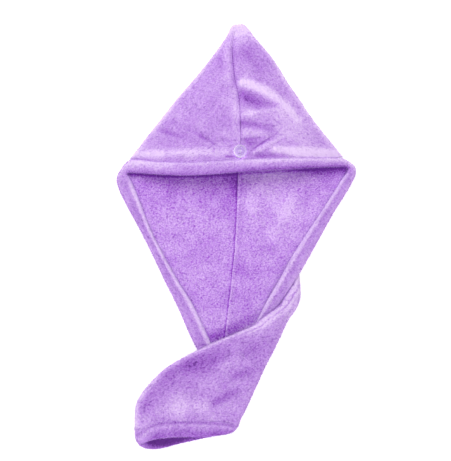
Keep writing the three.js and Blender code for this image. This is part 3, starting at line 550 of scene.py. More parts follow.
def cloth(name, grid, upright, painted_light, material, shown, unroll, seed, coarse=2, thin_at="", contrast=0.42):
    """A closed slab: outer side = middle + normal x (wall/2 + tufts), inner side = middle - normal x
    wall/2 on every coarse-th row and column, and a rim round both. The normal is the one that looks
    up in the columns that show. The pile thins out towards a seam at the first or last column. For
    the tufts each row is unrolled straight, in the direction of its column number unroll."""
    rows, columns = grid.shape[:2]
    normal = facing(grid)
    normal = stand_upright(normal * np.sign(normal[:, shown, 2].mean()), grid, upright)
    from_left = np.concatenate([np.zeros((rows, 1)), np.cumsum(norm(np.diff(grid, axis=1)), 1)], 1)
    from_seam = {"left": from_left, "right": from_left[:, -1:] - from_left, "": SEAM_THIN}[thin_at]
    full = np.sqrt(1 - (1 - np.clip(from_seam / SEAM_THIN, 0, 1)) ** 2)
    heading = unit(grid[:, unroll, :2] - grid[:, 0, :2])
    chart = grid[:, :1, :2] + heading[:, None] * from_left[..., None]
    chart = chart * TUFT_STRETCH + CLOTH_WANDER * wander(grid, seed)
    tuft = tufts(chart, TUFT_PITCH, seed)
    height = WALL / 2 * (SEAM_WALL + (1 - SEAM_WALL) * full) + PILE_RELIEF * (tuft - 0.6) * full
    outer = grid + normal * height[..., None]
    some = np.s_[::coarse, ::coarse]
    back_tuft = tufts(chart[some], TUFT_PITCH * BACK_PITCH, seed + 5)
    depth = WALL / 2 + BACK_RELIEF * PILE_RELIEF * (back_tuft - 0.7)
    inner = grid[some] - normal[some] * depth[..., None]
    slow = lattice_noise(grid, SLOW_PITCH, seed + 9) - 0.5
    # brightness: the grain of the tufts, slow unevenness, and the painted light and shade
    light = MEAN_LIGHT + contrast * (tuft - MEAN_TUFT) + CLOTH_SLOW * slow + painted_light
    front = np.arange(rows * columns).reshape(rows, columns)
    rear = rows * columns + np.arange(back_tuft.size).reshape(back_tuft.shape)
    edge, foot = (np.concatenate([g[0, :-1], g[:-1, -1], g[-1, :0:-1], g[:0:-1, 0]]) for g in (front, rear))
    nearest = np.floor((np.arange(len(edge)) + 0.5) / coarse + 0.5).astype(int) % len(foot)
    facing_foot = np.ceil(coarse * np.arange(len(foot)) + coarse / 2 - 0.5).astype(int) % len(edge)
    triangles = np.concatenate([np.stack([np.roll(edge, -1), edge, foot[nearest]], -1),
                                np.stack([foot, np.roll(foot, -1), edge[facing_foot]], -1)])
    pile_beds[name] = (outer, normal, light, False)
    return make_piece(name, np.concatenate([outer.reshape(-1, 3), inner.reshape(-1, 3)]),
                      np.concatenate([quads_of(front), quads_of(rear, flip=True)]), triangles,
                      np.concatenate([light.ravel(), (0.2 + 0.6 * back_tuft).ravel()]), material)


def even(count, step=2):
    """A count divided by the fineness, rounded to whole steps."""
    return max(1, round(count / FINENESS / step)) * step


print("200 rows are drawn as", even(200))

# %% [markdown]
# ## The hood
# Each half of the hood is one panel: it lies on the floor from the back seam to the side edge, folds
# over there and comes back as the front, which rises towards the brim. The two fronts meet in the
# crown seam, which pulls the cloth down a little. Each row of the grid is such a path, and the rows run
# from the tip to the brim; the last ones swing into its curve.

# %% Surface of half a hood
FLOOR_COLUMNS, FOLD_COLUMNS = even(24), even(14)
SIGN = {"left": -1, "right": 1}     # which way is outwards from the middle


def hood_half(side, rows, front):
    """Row s: floor from the seam to the edge, half a circle of FOLD_RADIUS, then a straight line to the
    crown seam whose height grows with s to that of the brim, plus folds, less the dip of the seam."""
    sign = SIGN[side]
    s = np.linspace(0, 1, rows + 1) ** 1.25
    crown_rows = s * (len(CROWN["seam_x"]) - 1)
    edge, seam = (rail(places(CROWN, line))(crown_rows) for line in (side, "seam"))
    seam[:, 0] += sign * SEWN
    edge[0, 0] += sign * SEWN
    inward = unit(seam - edge)
    turn = edge + inward * (WALL / 2 + FOLD_RADIUS)
    heel = back_seam(seam[:, 1])
    heel[:, 0] += sign * SEWN
    heel[0, 0] = seam[0, 0]
    across = (np.arange(FLOOR_COLUMNS) / FLOOR_COLUMNS)[None, :, None]
    floor = blend_between(heel[:, None], turn[:, None], across)
    floor[..., 2] = WALL / 2
    angle = np.linspace(-np.pi / 2, np.pi / 2, FOLD_COLUMNS + 1)[None, :, None]
    bend = turn[:, None] - inward[:, None] * FOLD_RADIUS * np.cos(angle)
    bend[..., 2] = WALL / 2 + FOLD_RADIUS * (1 + np.sin(angle[..., 0]))
    t = 1 - np.arange(1, front + 1) / front
    top = blend_between(seam[:, None], turn[:, None], t[None, :, None])
    brim = hem_outer(blend_between(BRIM_ROWS["middle"], BRIM_ROWS[side], t))
    brim[-1, 0] += sign * SEWN
    s, t = s[:, None], t[None, :]
    fade = 1 - t ** 6
    to_brim = s ** 8 * fade
    top[..., 0] = blend_between(top[..., 0], brim[None, :, 0], to_brim)
    top[..., 1] = blend_between(top[..., 1], brim[None, :, 1] - TUCK, to_brim)
    opening = smoothstep(s, 0.03, 0.3)
    swell = (0.06 + 0.94 * s ** 1.2) * opening
    top[..., 2] = 0
    creases = (fold_height(CROWN_FOLDS, top) + fold_height(CREASES, top)) * FOLD_DEPTH
    creases -= SEAM_DIP * bell(norm(top - seam[:, None]), 0, SEAM_REACH)
    edge_height = WALL / 2 + 2 * FOLD_RADIUS
    top[..., 2] = (edge_height + (brim[None, :, 2] - edge_height) * swell * fade
                   + creases * fade * opening * (1 - 0.6 * to_brim))
    return np.concatenate([floor, bend, top], 1)


def away(grid, column):
    """Distance of each point, seen from above, from its row's point in that column."""
    return norm(grid[..., :2] - grid[:, [column], :2])


hood = {}
for side in SIGN:
    grid = hood_half(side, even(200), even(140) - 1)
    folds = fold_height(CROWN_FOLDS, grid) + 1.2 * fold_height(CREASES, grid)
    from_edge, from_seam = away(grid, FLOOR_COLUMNS + FOLD_COLUMNS // 2), away(grid, -1)
    # painted shading: the table's painted light and shade, painted highlights on the ridges of the folds and
    # painted shade in their hollows, a painted highlight along the folded edge and painted shade along the
    # crown seam
    painted_shading = (fold_height(CROWN_PAINTED_LIGHT, grid) + 0.38 * (folds * smoothstep(grid[..., 2], 6, 9))
           + 0.32 * bell(from_edge, 0, 4) - 0.05 - 0.2 * bell(from_seam, 0, 1.2))
    hood[side] = cloth("hood_" + side, grid, ("first", "last", "left", "right"), painted_shading, FLEECE,
                       np.s_[-40:], 8, 11, thin_at="right")

# %% [markdown]
# ## The back
# The same two panels go on below the brim as the back of the towel. One sees their inside through the
# face opening. The right panel's edge lies on top of the left one at the seam, and a painted shadow of
# that edge runs along the seam as a deep lilac line; painted shade lies under the brim. The surface is
# flat on the floor with a few soft waves.

# %% Surface of half the back
OVERLAP = 1.6               # mm that the right panel's edge reaches over the left one, and rises


def back_half(side, rows, columns):
    """Level rows from the back seam to the inner edge of the side hem, lifted by the back folds."""
    top = place(BACK_TOP[side + "_x"], BACK_TOP["y"])
    hem_rows = np.arange(HEM_TOP[side], {"left": 0, "right": HEM_SPANS}[side], 0.1 * SIGN[side])
    beside = hem_inner(hem_rows) + np.array([SIGN[side] * TUCK, 0, 0])
    bottom = place(BACK_BOTTOM[side]["x"], BACK_BOTTOM[side]["y"])
    edge = np.concatenate([top, beside, bottom])[::-1]
    y = np.linspace(edge[-1, 1], edge[0, 1], rows + 1)
    outer = np.stack([np.interp(y, edge[:, 1], edge[:, 0]), y, np.full_like(y, WALL / 2)], -1)
    heel = back_seam(y)
    heel[:, 0] -= {"left": SEWN, "right": OVERLAP}[side]
    t = np.linspace(0, 1, columns + 1)
    grid = blend_between(heel[:, None], outer[:, None], t[None, :, None])
    in_opening = (y < BACK_TOP["y"][-1] * TOWEL_LENGTH / 100)[:, None]
    share = np.sqrt(np.sin(np.pi * t))[None, :]
    grid[..., 2] += np.maximum(fold_height(BACK_FOLDS, grid), 0) * FOLD_DEPTH * share * in_opening
    if side == "right":
        grid[..., 2] += OVERLAP * bell(grid[..., 0], heel[:, None, 0], 5) * in_opening
    return grid


back = {}
for side in SIGN:
    grid = back_half(side, even(240, 3), even(120, 3))
    from_seam = np.abs(grid[..., 0] - grid[:, :1, 0])
    # painted light along the back seam: a painted highlight on the raised edge of the right panel; on the
    # left a painted shadow of that edge, and painted shade that grows towards the brim
    seam_painted_light = 0.2 * bell(from_seam, 0, 3)
    if side == "left":
        high_up = smoothstep(grid[..., 1], 10, 90)
        seam_painted_light = -0.7 * bell(from_seam, 0, 3.2) - 0.3 * bell(from_seam, 0, 20) * high_up
    # painted shading: the table's painted light and shade, lighter and darker painting along the waves, and
    # the seam's
    painted_shading = fold_height(BACK_PAINTED_LIGHT, grid) + 0.25 * fold_height(BACK_FOLDS, grid) + seam_painted_light - 0.05
    back[side] = cloth("back_" + side, grid, ("left", "right"), painted_shading, INNER_FLEECE, np.s_[:], -1, 23,
                       coarse=3, thin_at="left", contrast=0.5)

# %% [markdown]
# ## The tail
# The two panels close into a flat tube that is turned over to the left. The upper layer turns down at
# its left edge, which is painted paler as a rim of painted highlight; at its right edge it rolls round
# and runs back on the floor to the seam. The lower layer lies on the floor. Near the right side hem the
# tail starts as a narrow flap beside the hem.

# %% Edges of the tail
tail_left, tail_right, tail_foot = (
    rail(places(TAIL, line, TAIL[height] * TAIL_HEIGHT))
    for line, height in (("left", "left"), ("right", "right"), ("foot", "lip")))
TAIL_END = len(TAIL["lip"]) - 1
print("tail mouth, mm:", tail_left(TAIL_END).round(1), tail_right(TAIL_END).round(1))


# %% Upper layer of the tail
def tail_top(rows, lip_columns, turn_columns, top_columns, roll_columns, floor_columns):
    """Row by row: up from the lip, a quarter circle, a shallow arch across, half a turn of TAIL_ROLL
    at the right edge, and back along the floor to the seam."""
    row = np.linspace(0, TAIL_END, rows + 1)
    left, right, foot = tail_left(row), tail_right(row), tail_foot(row)
    left_height, right_height = left[:, 2:3].copy(), right[:, 2:3].copy()
    lip = foot[:, 2:3] + SEWN
    left[:, 2] = right[:, 2] = 0
    across = right - left
    width = norm(across)[:, None]
    across /= width
    room = (width - WALL) / 2 * 0.95
    turn = np.minimum(np.minimum(TAIL_EDGE_RADIUS, room), left_height - lip)
    roll = np.minimum(np.minimum(TAIL_ROLL, room), (right_height - WALL / 2) / 2)
    start, end = WALL / 2 + turn, width - WALL / 2 - roll

    def at(distance, height):
        """Left edge + distance x the direction across the tail, raised to the height."""
        points = left[:, None] + across[:, None] * distance[..., None]
        points[..., 2] = height
        return points

    up = np.arange(lip_columns) / lip_columns
    lip_part = at(WALL / 2 + 0 * lip + 0 * up, lip + (left_height - turn - lip) * up)
    angle = np.pi / 2 * np.arange(turn_columns) / turn_columns
    turn_part = at(WALL / 2 + turn * (1 - np.cos(angle)), left_height - turn * (1 - np.sin(angle)))
    t = np.linspace(0, 1, top_columns + 1)
    flat = at(blend_between(start, end, t), 0)
    arch = np.sin(np.pi * t)
    puff = TAIL_PUFF * TAIL_HEIGHT * np.minimum(1, row / 5)[:, None]
    creases = fold_height(TAIL_FOLDS, flat) * FOLD_DEPTH * np.minimum(1, 3 * arch)
    flat[..., 2] = blend_between(left_height, right_height, t ** 2) + puff * arch + creases
    angle = np.pi * (0.5 - np.arange(1, roll_columns + 1) / roll_columns)
    half = (right_height - WALL / 2) / 2
    roll_part = at(end + roll * np.cos(angle), WALL / 2 + half * (1 + np.sin(angle)))
    under = at(end, WALL / 2)[:, 0]
    foot[:, 0] += SEWN
    foot[:, 2] = WALL / 2
    t = np.arange(1, floor_columns + 1) / floor_columns
    floor = blend_between(under[:, None], foot[:, None], t[None, :, None])
    return np.concatenate([lip_part, turn_part, flat, roll_part, floor], 1)


grid = tail_top(even(220), 2, even(8), even(112), even(16), even(14) - 1)
folds = fold_height(TAIL_FOLDS, grid) * (grid[..., 2] > 8)
from_left = away(grid, 0)
near_flap = 1 - smoothstep(np.linspace(0, TAIL_END, grid.shape[0]), 6.0, 9.0)[:, None]
# painted light along the left edge of the upper layer: a painted highlight where it turns down, wider near
# the flap, a pale painted strip on the flap, and painted shade in the groove against the hem and in a line
# beside it
rim = (0.2 * near_flap + 0.4 * bell(from_left, 0, 4.5 + 3 * near_flap)
       - 0.6 * near_flap * bell(from_left, 0, 1.6))
rim += near_flap * (0.3 * bell(from_left, 13, 3.5) - 0.25 * bell(from_left, 8.5, 1.3))
# painted shading: the table's painted light and shade, and lighter and darker painting along the folds
painted_shading = fold_height(TAIL_PAINTED_LIGHT, grid) + 0.25 * folds + rim - 0.12
tail_upper = cloth("tail_upper", grid, ("right", "last"), painted_shading, FLEECE, np.s_[20:60], 60, 37, contrast=0.6)


# %% Lower layer of the tail
def tail_under(rows, floor_columns, turn_columns):
    """From the seam flat to the left edge, then a quarter circle up to meet the upper layer."""
    row = np.linspace(TAIL_CLOSED, TAIL_END, rows + 1)
    left, heel = tail_left(row), tail_foot(row)
    lip = heel[:, 2:3] - SEWN
    turn = np.minimum(TAIL_EDGE_RADIUS, lip - WALL / 2)
    heel[:, 0] -= SEWN
    left[:, 2] = heel[:, 2] = 0
    inward = unit(heel - left)
    bend = left + inward * (WALL / 2 + turn)
    t = (np.arange(floor_columns) / floor_columns)[None, :, None]
    floor = blend_between(heel[:, None], bend[:, None], t)
    floor[..., 2] = WALL / 2
    angle = np.linspace(0, np.pi / 2, turn_columns + 1)
    curve = left[:, None] + inward[:, None] * (WALL / 2 + turn * (1 - np.sin(angle)))[..., None]
    curve[..., 2] = WALL / 2 + turn * (1 - np.cos(angle))
    return np.concatenate([floor, curve], 1)


grid = tail_under(even(90), even(60), even(6))
tail_lower = cloth("tail_lower", grid, ("left", "last"), 0, FLEECE, np.s_[:20], 20, 41)

# %% [markdown]
# ## The hems
# Round the face opening and round the mouth of the tail the cloth is turned over twice and stitched,
# which gives a plump band about 20 mm wide and 7 mm thick. It is an oval carried along the opening:
# the section's width runs between two edge curves, so the band is as wide as the tables say.

# %% Surface of a hem
HEM_SIDES = 40              # points round the section of a hem
HEM_CONTRAST = 0.4


def hem_band(first, second, thickness, spans, stations, closed):
    """A flattened oval, x = cos^0.8, y = sin^0.7, swept between two edge curves."""
    row = np.linspace(0, spans, stations + 1)[:stations + (not closed)]
    a, b = first(row), second(row)
    before, after = np.maximum(row - 0.02, 0), np.minimum(row + 0.02, spans)
    tangent = first(after) + second(after) - first(before) - second(before)
    across = b - a
    normal = unit(np.cross(tangent, across))
    angle = 2 * np.pi * np.arange(HEM_SIDES) / HEM_SIDES
    wide = np.sign(np.cos(angle)) * np.abs(np.cos(angle)) ** 0.8
    high = np.sign(np.sin(angle)) * np.abs(np.sin(angle)) ** 0.7
    grid = (a + b)[:, None] / 2 - across[:, None] * wide[None, :, None] / 2
    return grid + normal[:, None] * (thickness / 2 * high)[None, :, None], row[:, None], angle[None]


hem_faces = {}              # smooth surface and normal of each hem, for its stitches


def hem(name, grid, closed, ridge, painted_light, seed):
    """The swept oval with tufts along its normals, closed by a fan at each end or run round in a ring."""
    normal = facing(grid, wrap=True)
    middle = grid.mean(1, keepdims=True)
    normal *= np.sign((normal * (grid - middle)).sum(-1).mean())
    squares = round(norm(np.roll(grid, -1, 1) - grid).sum(1).mean() / TUFT_PITCH)
    around = np.arange(HEM_SIDES)[None] * squares * TUFT_PITCH / HEM_SIDES
    chart = np.stack(np.broadcast_arrays(run_of(middle[:, 0])[:, None], around), -1)
    tuft = tufts(chart + HEM_WANDER * wander(grid, seed), TUFT_PITCH, seed, squares)
    raised = grid + normal * (PILE_RELIEF * (tuft - 0.7) + ridge)[..., None]
    slow = lattice_noise(grid, SLOW_PITCH, seed + 2) - 0.5
    # brightness: the grain of the tufts, slow unevenness, and the painted light and shade
    light = MEAN_LIGHT + HEM_CONTRAST * (tuft - MEAN_TUFT) + HEM_SLOW * slow + painted_light
    points, shade = raised.reshape(-1, 3), light.ravel()
    index = np.arange(tuft.size).reshape(tuft.shape)
    triangles = np.zeros((0, 3), int)
    if not closed:
        triangles = np.concatenate([fan(index[0], tuft.size), fan(index[-1], tuft.size + 1, flip=True)])
        points = np.concatenate([points, raised[[0, -1]].mean(1)])
        shade = np.append(shade, (0.5, 0.5))
    pile_beds[name] = (raised, normal, light, True)
    hem_faces[name] = (grid + normal * ridge[..., None], normal)
    return make_piece(name, points, quads_of(index, True, closed, flip=True), triangles, shade, HEM_FLEECE)

# %% Face hem
# the underside of the band is at angles 0 to pi and its top at pi to 2 pi, from the inner edge outwards
RIDGE_START, RIDGE_END, RIDGE_HEIGHT = 3.2, 4.45, 0.8   # overlocked ridge on the inner half of the side hems
RIDGE_FOOT = RIDGE_END + 0.12                           # angle at which the ridge has come down
grid, row, angle = hem_band(hem_outer, hem_inner, HEM_THICKNESS, HEM_SPANS, even(680), False)
sides_only = 1 - plateau(row, 6.5, 9.0, 21.0, 23.0)     # 0 on the rows of the brim
inner_top = plateau(angle, RIDGE_START, RIDGE_START + 0.4, RIDGE_FOOT - 0.5, RIDGE_FOOT)
groove = bell(angle, RIDGE_FOOT + 0.1, 0.25)
on_right = smoothstep(row, 14.0, 16.0)
# painted light on the brim: a painted highlight on its upper half, painted shade along its lower edge, a
# painted gleam in the left corner and, on the left, a line of painted shade in the groove at its top
brim_painted_light = ((0.15 + 0.2 * on_right) * bell(angle, 5.4, 0.5)           # pale upper half
              - (0.4 + 0.2 * on_right) * bell(angle, 3.6, 0.8)          # shade along the lower edge
              + 0.35 * bell(angle, 5.1, 0.6) * bell(row, 11, 1.3)       # gleam in the left corner
              - 0.35 * (1 - on_right) * bell(angle, 6.05, 0.2))         # dark line above, on the left
# side hems: paler on the overlocked ridge, with painted shade in the groove beside it
side_painted_light = (0.42 - 0.1 * on_right) * inner_top - 0.14 * groove - 0.06 + 0.06 * on_right
face_hem = hem("face_hem_fleece", grid, False, sides_only * (RIDGE_HEIGHT * inner_top - 0.45 * groove),
               sides_only * side_painted_light + (1 - sides_only) * brim_painted_light, 53)

# %% Hem of the tail
# here the top of the band is at angles 0 to pi, from the seam to the rim of the mouth
mouth_height = np.maximum(TAIL_HEM["height"] * TAIL_HEIGHT, TAIL_HEM_THICKNESS / 2)
stitch_loop, mouth_loop = (rail(places(TAIL_HEM, line, mouth_height), closed=True)
                           for line in ("stitch", "mouth"))
grid, row, angle = hem_band(stitch_loop, mouth_loop, TAIL_HEM_THICKNESS, len(mouth_height), even(300), True)
seam_angle = 0.8 + 0.7 * smoothstep(row, 5.5, 8.5)      # the seam swings down at the left end
stitched = 1 - plateau(row, 8.0, 9.0, 17.0, 17.8)
groove = bell(angle, seam_angle, 0.25) * stitched
lower = plateau(row, 10.2, 11.2, 16.0, 17.5)
lip = 3.9 - 0.9 * smoothstep(row, 11.5, 13.0)           # where the shade starts behind the pale lip
# painted shade inside the mouth of the tail, behind the pale lip and deepest at angle 4.45
inside = ((0.35 - 0.25 * smoothstep(row, 11.5, 14.5)) * smoothstep(angle, lip, lip + 0.6)
          + 0.5 * bell(angle, 4.45, 0.4))
# painted light on the tail hem: a painted highlight above the seam groove, painted shade in the groove and
# towards the mouth, and a painted highlight at the left end
tail_hem_painted_light = (0.2 * bell(angle, seam_angle + 0.5, 0.35) - 0.3 * groove - 0.16
               - 0.3 * smoothstep(angle, 1.0, 2.2) + 0.25 * plateau(row, 5.5, 7.5, 10.0, 11.0))
tail_hem = hem("tail_hem_fleece", grid, True, -0.5 * groove, tail_hem_painted_light - lower * inside, 59)

# %% [markdown]
# ## Loose fibres of the pile
# Seen against the light the towel has no hard outline: the ends of the pile stand out of it by 1 to
# 3 mm, paler than the cloth. These ends are real meshes too. Each is a thin three-sided spike, a lock
# of many fibres, that leans a little in the direction in which the cloth was last stroked.

# %% Spikes scattered over a surface
LOCK_LENGTH, LOCK_WIDTH = 2.3, 0.42     # mm; a real fibre is 0.02 mm thick, a lock of them shows
LOCK_ROOT, LEAN = 0.3, 0.45             # mm that a lock starts inside the cloth, and its random lean
STROKE = np.array([0.05, -0.25, 0.0])   # the cloth was last stroked towards the tail


def fibres(name, per_mm2, material):
    """At random points, as many per area everywhere: a triangle in the cloth and a tip at
    point + length x (normal + random lean + stroke). The tip is painted paler than the foot, a painted
    highlight of the light that the ends of the pile catch. None grow where the cloth lies on the floor."""
    rng = np.random.default_rng(71)
    surface, normal, bright, around = pile_beds[name]
    if around:
        surface, normal, bright = (np.concatenate([g, g[:, :1]], 1) for g in (surface, normal, bright))
    a, b, c, up = surface[:-1, :-1], surface[:-1, 1:], surface[1:, :-1], normal[:-1, :-1]
    on_floor = (up[..., 2] < -0.2) & (a[..., 2] < 4)
    area = norm(np.cross(b - a, c - a)) * (~on_floor & (norm(up) > 0.9))
    number = int(area.sum() * per_mm2 / FINENESS ** 2)
    cell = rng.choice(area.size, number, p=(area / area.sum()).ravel())
    u, v = rng.random((2, number, 1))
    a, b, c, up = (g.reshape(-1, 3)[cell] for g in (a, b, c, up))
    point = a + u * (b - a) + v * (c - a)
    lean = rng.normal(0, LEAN, (number, 3)) + STROKE
    lean -= (lean * up).sum(-1, keepdims=True) * up
    length = LOCK_LENGTH * rng.uniform(0.55, 1.15, (number, 1))
    feet = point - LOCK_ROOT * up
    tips = point + length * (up + lean) / np.sqrt(1 + (lean ** 2).sum(-1, keepdims=True))
    axis = unit(tips - feet)
    side = unit(np.cross(up, rng.normal(size=(number, 3))))
    side -= (side * axis).sum(1, keepdims=True) * axis
    other = np.cross(axis, side)
    ring = [feet + LOCK_WIDTH / 1.7 * (np.cos(w) * side + np.sin(w) * other) for w in (0, 2.094, 4.189)]
    corners = ((0, 1, 3), (1, 2, 3), (2, 0, 3), (0, 2, 1))
    triangles = np.concatenate([4 * np.arange(number)[:, None] + np.array(corner) for corner in corners])
    light = bright[:-1, :-1].ravel()[cell]
    # painted highlight: the tip of each lock is painted paler than the cloth it grows from, its foot a little
    # darker
    shade = np.stack([light - 0.1] * 3 + [light + 0.3 + rng.uniform(-0.12, 0.12, number)], 1)
    return make_piece("pile_of_" + name, np.stack(ring + [tips], 1).reshape(-1, 3), np.zeros((0, 4), int),
                      triangles, shade, material)

# %% Pile on every piece of cloth
pile = {}
for names, per_mm2, material in (("hood_left hood_right", 0.45, FLEECE),
                                 ("back_left back_right", 0.4, INNER_FLEECE), ("tail_upper", 0.45, FLEECE),
                                 ("face_hem_fleece tail_hem_fleece", 0.5, HEM_FLEECE)):
    for name in names.split():
        pile[name] = fibres(name, per_mm2, material)

# %% [markdown]
# ## Stitches
# The hems are topstitched with lilac polyester thread, about six stitches to 25 mm, and the cut edge
# inside the side hems is overlocked: threads wrap round it every 2 mm and make the pale ridge. A
# stitch is a short round strand whose ends dive into the cloth, so each is a spindle: a circle whose
# radius follows a half sine along the stitch, set down again and again along the seam.


# %% Spindles laid along a line
def spindles(name, middles, along, up, length, radius, material, sink=0.35):
    """Ring n of a stitch stands at share n/6 of its length with radius x sin(pi n/6)^0.6, and lies
    lower at both ends by sink x (2 share - 1) squared."""
    share, turn = np.linspace(0, 1, 7), 2 * np.pi * np.arange(6) / 6
    along = unit(along)
    side = unit(np.cross(along, up))
    thick = radius * np.maximum(np.sin(np.pi * share), 0) ** 0.6
    centre = (middles[:, None] + along[:, None] * ((share - 0.5) * length)[None, :, None]
              - up[:, None] * (sink * (2 * share - 1) ** 2)[None, :, None])
    ring = (side[:, None, None] * np.cos(turn)[None, None, :, None]
            + up[:, None, None] * np.sin(turn)[None, None, :, None]) * thick[None, 1:-1, None, None]
    body = (centre[:, 1:-1, None] + ring).reshape(len(middles), -1, 3)
    points = np.concatenate([body, centre[:, [0, -1]]], 1)
    index = np.arange(30).reshape(5, 6)
    caps = np.concatenate([fan(index[0], 30, flip=True), fan(index[-1], 31)])
    shift = 32 * np.arange(len(middles))[:, None, None]
    light = np.tile(np.r_[np.full(30, 0.7), 0.3, 0.3], len(middles))
    return make_piece(name, points.reshape(-1, 3), (quads_of(index, True) + shift).reshape(-1, 4),
                      (caps + shift).reshape(-1, 3), light, material)


def along_hem(name, angle, first, last, pitch, lift):
    """Evenly spaced points on a hem between two shares of its length, at an angle of its section that
    may change from station to station."""
    surface, normal = hem_faces[name]
    station = np.arange(round(first * (len(surface) - 1)), round(last * (len(surface) - 1)) + 1)
    column = np.broadcast_to(angle, len(surface))[station] / (2 * np.pi) * HEM_SIDES
    c, w = column.astype(int), (column % 1)[:, None]
    line, up = (blend_between(g[station, c], g[station, c + 1], w) for g in (surface, normal))
    run = run_of(line)
    at = np.arange(pitch / 2, run[-1], pitch)
    line, along, up = (np.stack([np.interp(at, run, g[:, n]) for n in range(3)], -1)
                       for g in (line, np.gradient(line, axis=0), up))
    up = unit(up)
    return line + lift * up, along, up


# %% Lilac thread: twisted polyester
def polyester_thread(name, dark, pale):
    """Spun and twisted polyester: a faint gloss, with the twist as fine slanting bands, 0.7 mm apart."""
    material, tree = new_material(name)
    where = add_node(tree, "TexCoord")
    twist = add_node(tree, "TexWave", {"Vector": (where, "Object"), "Scale": 500, "Distortion": 1.5},
                     bands_direction="DIAGONAL")
    colour = colour_ramp(tree, (twist, "Fac"), [(0.1, dark), (0.8, pale)])
    add_surface(tree, {"Base Color": colour, "Roughness": 0.55, "IOR": 1.5})
    return material


THREAD = polyester_thread("twisted_polyester_thread", "#BB8FE2", "#DDBEF7")
OVERLOCK = polyester_thread("pale_overlock_thread", "#D2ACF5", "#EFD8FF")
print("threads:", THREAD.name, OVERLOCK.name)

# %% Topstitching and overlocking
TOPSTITCH, WRAP = 4.2, 2.2  # mm from stitch to stitch, and from one wrap of the overlocking to the next
THICK_THREAD, FINE_THREAD = 0.42, 0.34      # radius, mm
LEFT_SIDE, BRIM, RIGHT_SIDE = ((rows[0] / HEM_SPANS, rows[1] / HEM_SPANS)
                               for rows in ((0.5, 8.2), (11.2, 18.8), (22.5, 31.5)))


def face_runs(pitch, *runs):
    """Stitches along stretches of the face hem, each given by its angle, its stretch and its lift."""
    parts = [along_hem("face_hem_fleece", angle, *stretch, pitch, lift) for angle, stretch, lift in runs]
    return [np.concatenate(part) for part in zip(*parts)]


face_stitches = spindles("face_hem_topstitching", *face_runs(
    TOPSTITCH, (5.72, BRIM, 0.3), (RIDGE_END + 0.2, LEFT_SIDE, 0.35), (RIDGE_END + 0.5, RIGHT_SIDE, 0.35)),
    3.4, THICK_THREAD, THREAD)
tail_stitches = spindles("tail_hem_topstitching", *along_hem(
    "tail_hem_fleece", seam_angle[:, 0], 0.0, 0.47, TOPSTITCH, 0.1), 3.2, FINE_THREAD, THREAD)
middles, along, up = face_runs(WRAP, (3.75, LEFT_SIDE, 0.35), (3.9, RIGHT_SIDE, 0.35))
length = norm(along)[:, None]
over = np.cross(up, along) / length + 0.45 * along / length
overlock = spindles("side_hem_overlocking", middles, over, up, 5.6, FINE_THREAD, OVERLOCK, sink=0.9)

# %% [markdown]
# ## The button
# A 20 mm four-hole button, injection-moulded in clear acrylic, is sewn on with lilac thread. The CAD
# solid has its true shape, so it stays and only gets the look of clear plastic, which picks up the
# lilac of the cloth under it. Rings of painted light are painted into its colour: a pale hub and rim
# with a darker ring between, the painted highlight brightest on the rim's side away from the lamp.

# %% Clear acrylic
# the painted highlight on the rim lies on the side away from the lamp, so the painted rings are centred off
# the middle by this much
BRIGHT_SIDE = np.array([0.0007, 0.0008, 0.0])       # the rim gathers light on the side away from the lamp
BUTTON_REACH = 0.0105                               # metres over which the tint runs
acrylic, tree = new_material("moulded_clear_acrylic")
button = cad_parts["button"]
low, high = (np.array(corner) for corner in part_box("button"))
centre = (low + high) / 2
where = add_node(tree, "TexCoord")
off_centre = add_node(tree, "VectorMath", {0: (where, "Object"), 1: centre + BRIGHT_SIDE},
                      operation="DISTANCE")
share = add_node(tree, "Math", {0: (off_centre, "Value"), 1: BUTTON_REACH}, operation="DIVIDE")
# painted rings of light in the clear plastic: a white hub, a darker ring and a pale rim
painted_rings = colour_ramp(tree, (share, 0), [(0.12, "#FFFFFF"), (0.3, "#D0BCE6"), (0.62, "#DFCDF0"),
                                      (0.82, "#F0E4FA"), (0.94, "#FFFFFF")])
add_surface(tree, {"Base Color": painted_rings, "Roughness": 0.12, "IOR": 1.49, "Transmission Weight": 0.68,
                   "Specular IOR Level": 1.0})
button.data.materials.clear()
button.data.materials.append(acrylic)
button.visible_shadow = False       # light passes through clear plastic
print("button, mm:", (low * 1000).round(1), (high * 1000).round(1))

# %% Thread through the button: two bars of three strands in its dish
BUTTON_HOLE_PITCH, BUTTON_DISH, STRAND = 4.0, 1.1, 0.75
bar, strand = (g.ravel() for g in np.meshgrid((-1, 1), (-1, 0, 1)))
middles = centre * 1000 + np.stack([bar * BUTTON_HOLE_PITCH / 2 + strand * STRAND, 0 * bar, 0 * bar], -1)
middles[:, 2] = high[2] * 1000 - BUTTON_DISH + 0.35 + 0.2 * (strand == 0)
along_y, upwards = (np.tile(axis, (6, 1)) for axis in ((0.0, 1.0, 0.0), (0.0, 0.0, 1.0)))
button_thread = spindles("button_thread", middles, along_y, upwards, BUTTON_HOLE_PITCH + 1.2,
                         THICK_THREAD, OVERLOCK, sink=0.8)

# %% [markdown]
# ## Hiding the solids that the cloth replaces
# The cloth pieces replace the plain solids of the panels and hems, which are hidden.


# %% Hide the solids that the cloth pieces replace
def state(piece, node, slot, flat, held, rests_on=("floor",), stitches=(), **cut):
    """Hides the CAD node that a cloth piece and its pile replace; slot and cut are not used."""
    own = [pile[piece.name]] if piece.name in pile else []
    for part in [piece] + own:
        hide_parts(node)


for side in SIGN:
    state(hood[side], side + "_panel", "fleece", (0.33, 0.205), "folded", area=0.037)
    state(back[side], side + "_panel", "fleece", (0.165, 0.32), "laid", area=0.031)
state(tail_upper, "right_panel", "fleece", (0.21, 0.235), "folded", ("tail_lower", "floor"), area=0.042)
state(tail_lower, "left_panel", "fleece", (0.12, 0.11), "laid", area=0.0105)
state(face_hem, "face_hem", "fleece_hem", (0.024, 0.88), "folded", ("floor", "back_left", "back_right"),
      [face_stitches, overlock])
state(tail_hem, "tail_hem", "fleece_hem", (0.025, 0.31), "folded", stitches=[tail_stitches])

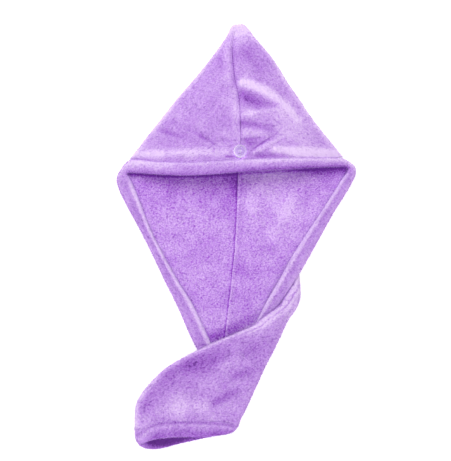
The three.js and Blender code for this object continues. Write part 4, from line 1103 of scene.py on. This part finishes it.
# %% [markdown]
# ## Floor, light and camera
# The towel lies on a white light table, lit faintly from below as in a shop photograph, so that its
# shadow on the table all but vanishes. A wide softbox beyond the tip lights the folds from that side
# and leaves shade under the brim. A fill hangs above, a low softbox lights the towel from the tail's
# side, and a bright room does the rest.

# %% Floor
WHITE = (1, 1, 1, 1)
bpy.ops.mesh.primitive_plane_add(size=6, location=(0, 0, 0))
floor = bpy.context.object
floor.name = "floor"
paper, tree = new_material("matt_white_table")
add_surface(tree, {"Base Color": linear("#F8F8F8"), "Roughness": 0.9, "Emission Color": WHITE,
                   "Emission Strength": 0.45})
floor.data.materials.append(paper)

# %% Light
world = bpy.data.worlds.new("bright_room")
world.use_nodes = True
room_light = world.node_tree.nodes["Background"].inputs
room_light["Color"].default_value, room_light["Strength"].default_value = WHITE, 0.54
bpy.context.scene.world = world
for name, position, size, power in (("softbox_key", (-0.45, 1.35, 1.15), 0.9, 17),
                                    ("softbox_fill", (0.5, -0.4, 2.2), 1.2, 6),
                                    ("softbox_low", (-0.1, -1.5, 0.7), 1.0, 10)):
    lamp = bpy.data.lights.new(name, "AREA")
    lamp.size, lamp.energy = size, power
    holder = bpy.data.objects.new(name, lamp)
    holder.location = position
    holder.rotation_mode = "QUATERNION"
    holder.rotation_quaternion = mathutils.Vector(-np.array(position)).to_track_quat("-Z", "Y")
    bpy.context.scene.collection.objects.link(holder)
    print(name, power, "W")
bpy.context.scene.view_settings.view_transform = "Standard"

# %% Camera straight above, as in the photograph
PHOTO_HEIGHT = 0.6915       # metres that the picture's 461 rows cover on the towel
CAMERA_HEIGHT = 2.0
SCALE_HEIGHT = 0.012        # metres over the floor where that measure holds
SENSOR = 24                 # mm
PHOTO_MIDDLE = (-0.0164, 0.0096)
camera_data = bpy.data.cameras.new("camera")
camera_data.sensor_fit = "VERTICAL"
camera_data.sensor_height = SENSOR
camera_data.lens = SENSOR * (CAMERA_HEIGHT - SCALE_HEIGHT) / PHOTO_HEIGHT
camera = bpy.data.objects.new("camera", camera_data)
camera.location = (*PHOTO_MIDDLE, CAMERA_HEIGHT)
bpy.context.scene.collection.objects.link(camera)
bpy.context.scene.camera = camera
print("lens", round(camera_data.lens, 1), "mm")
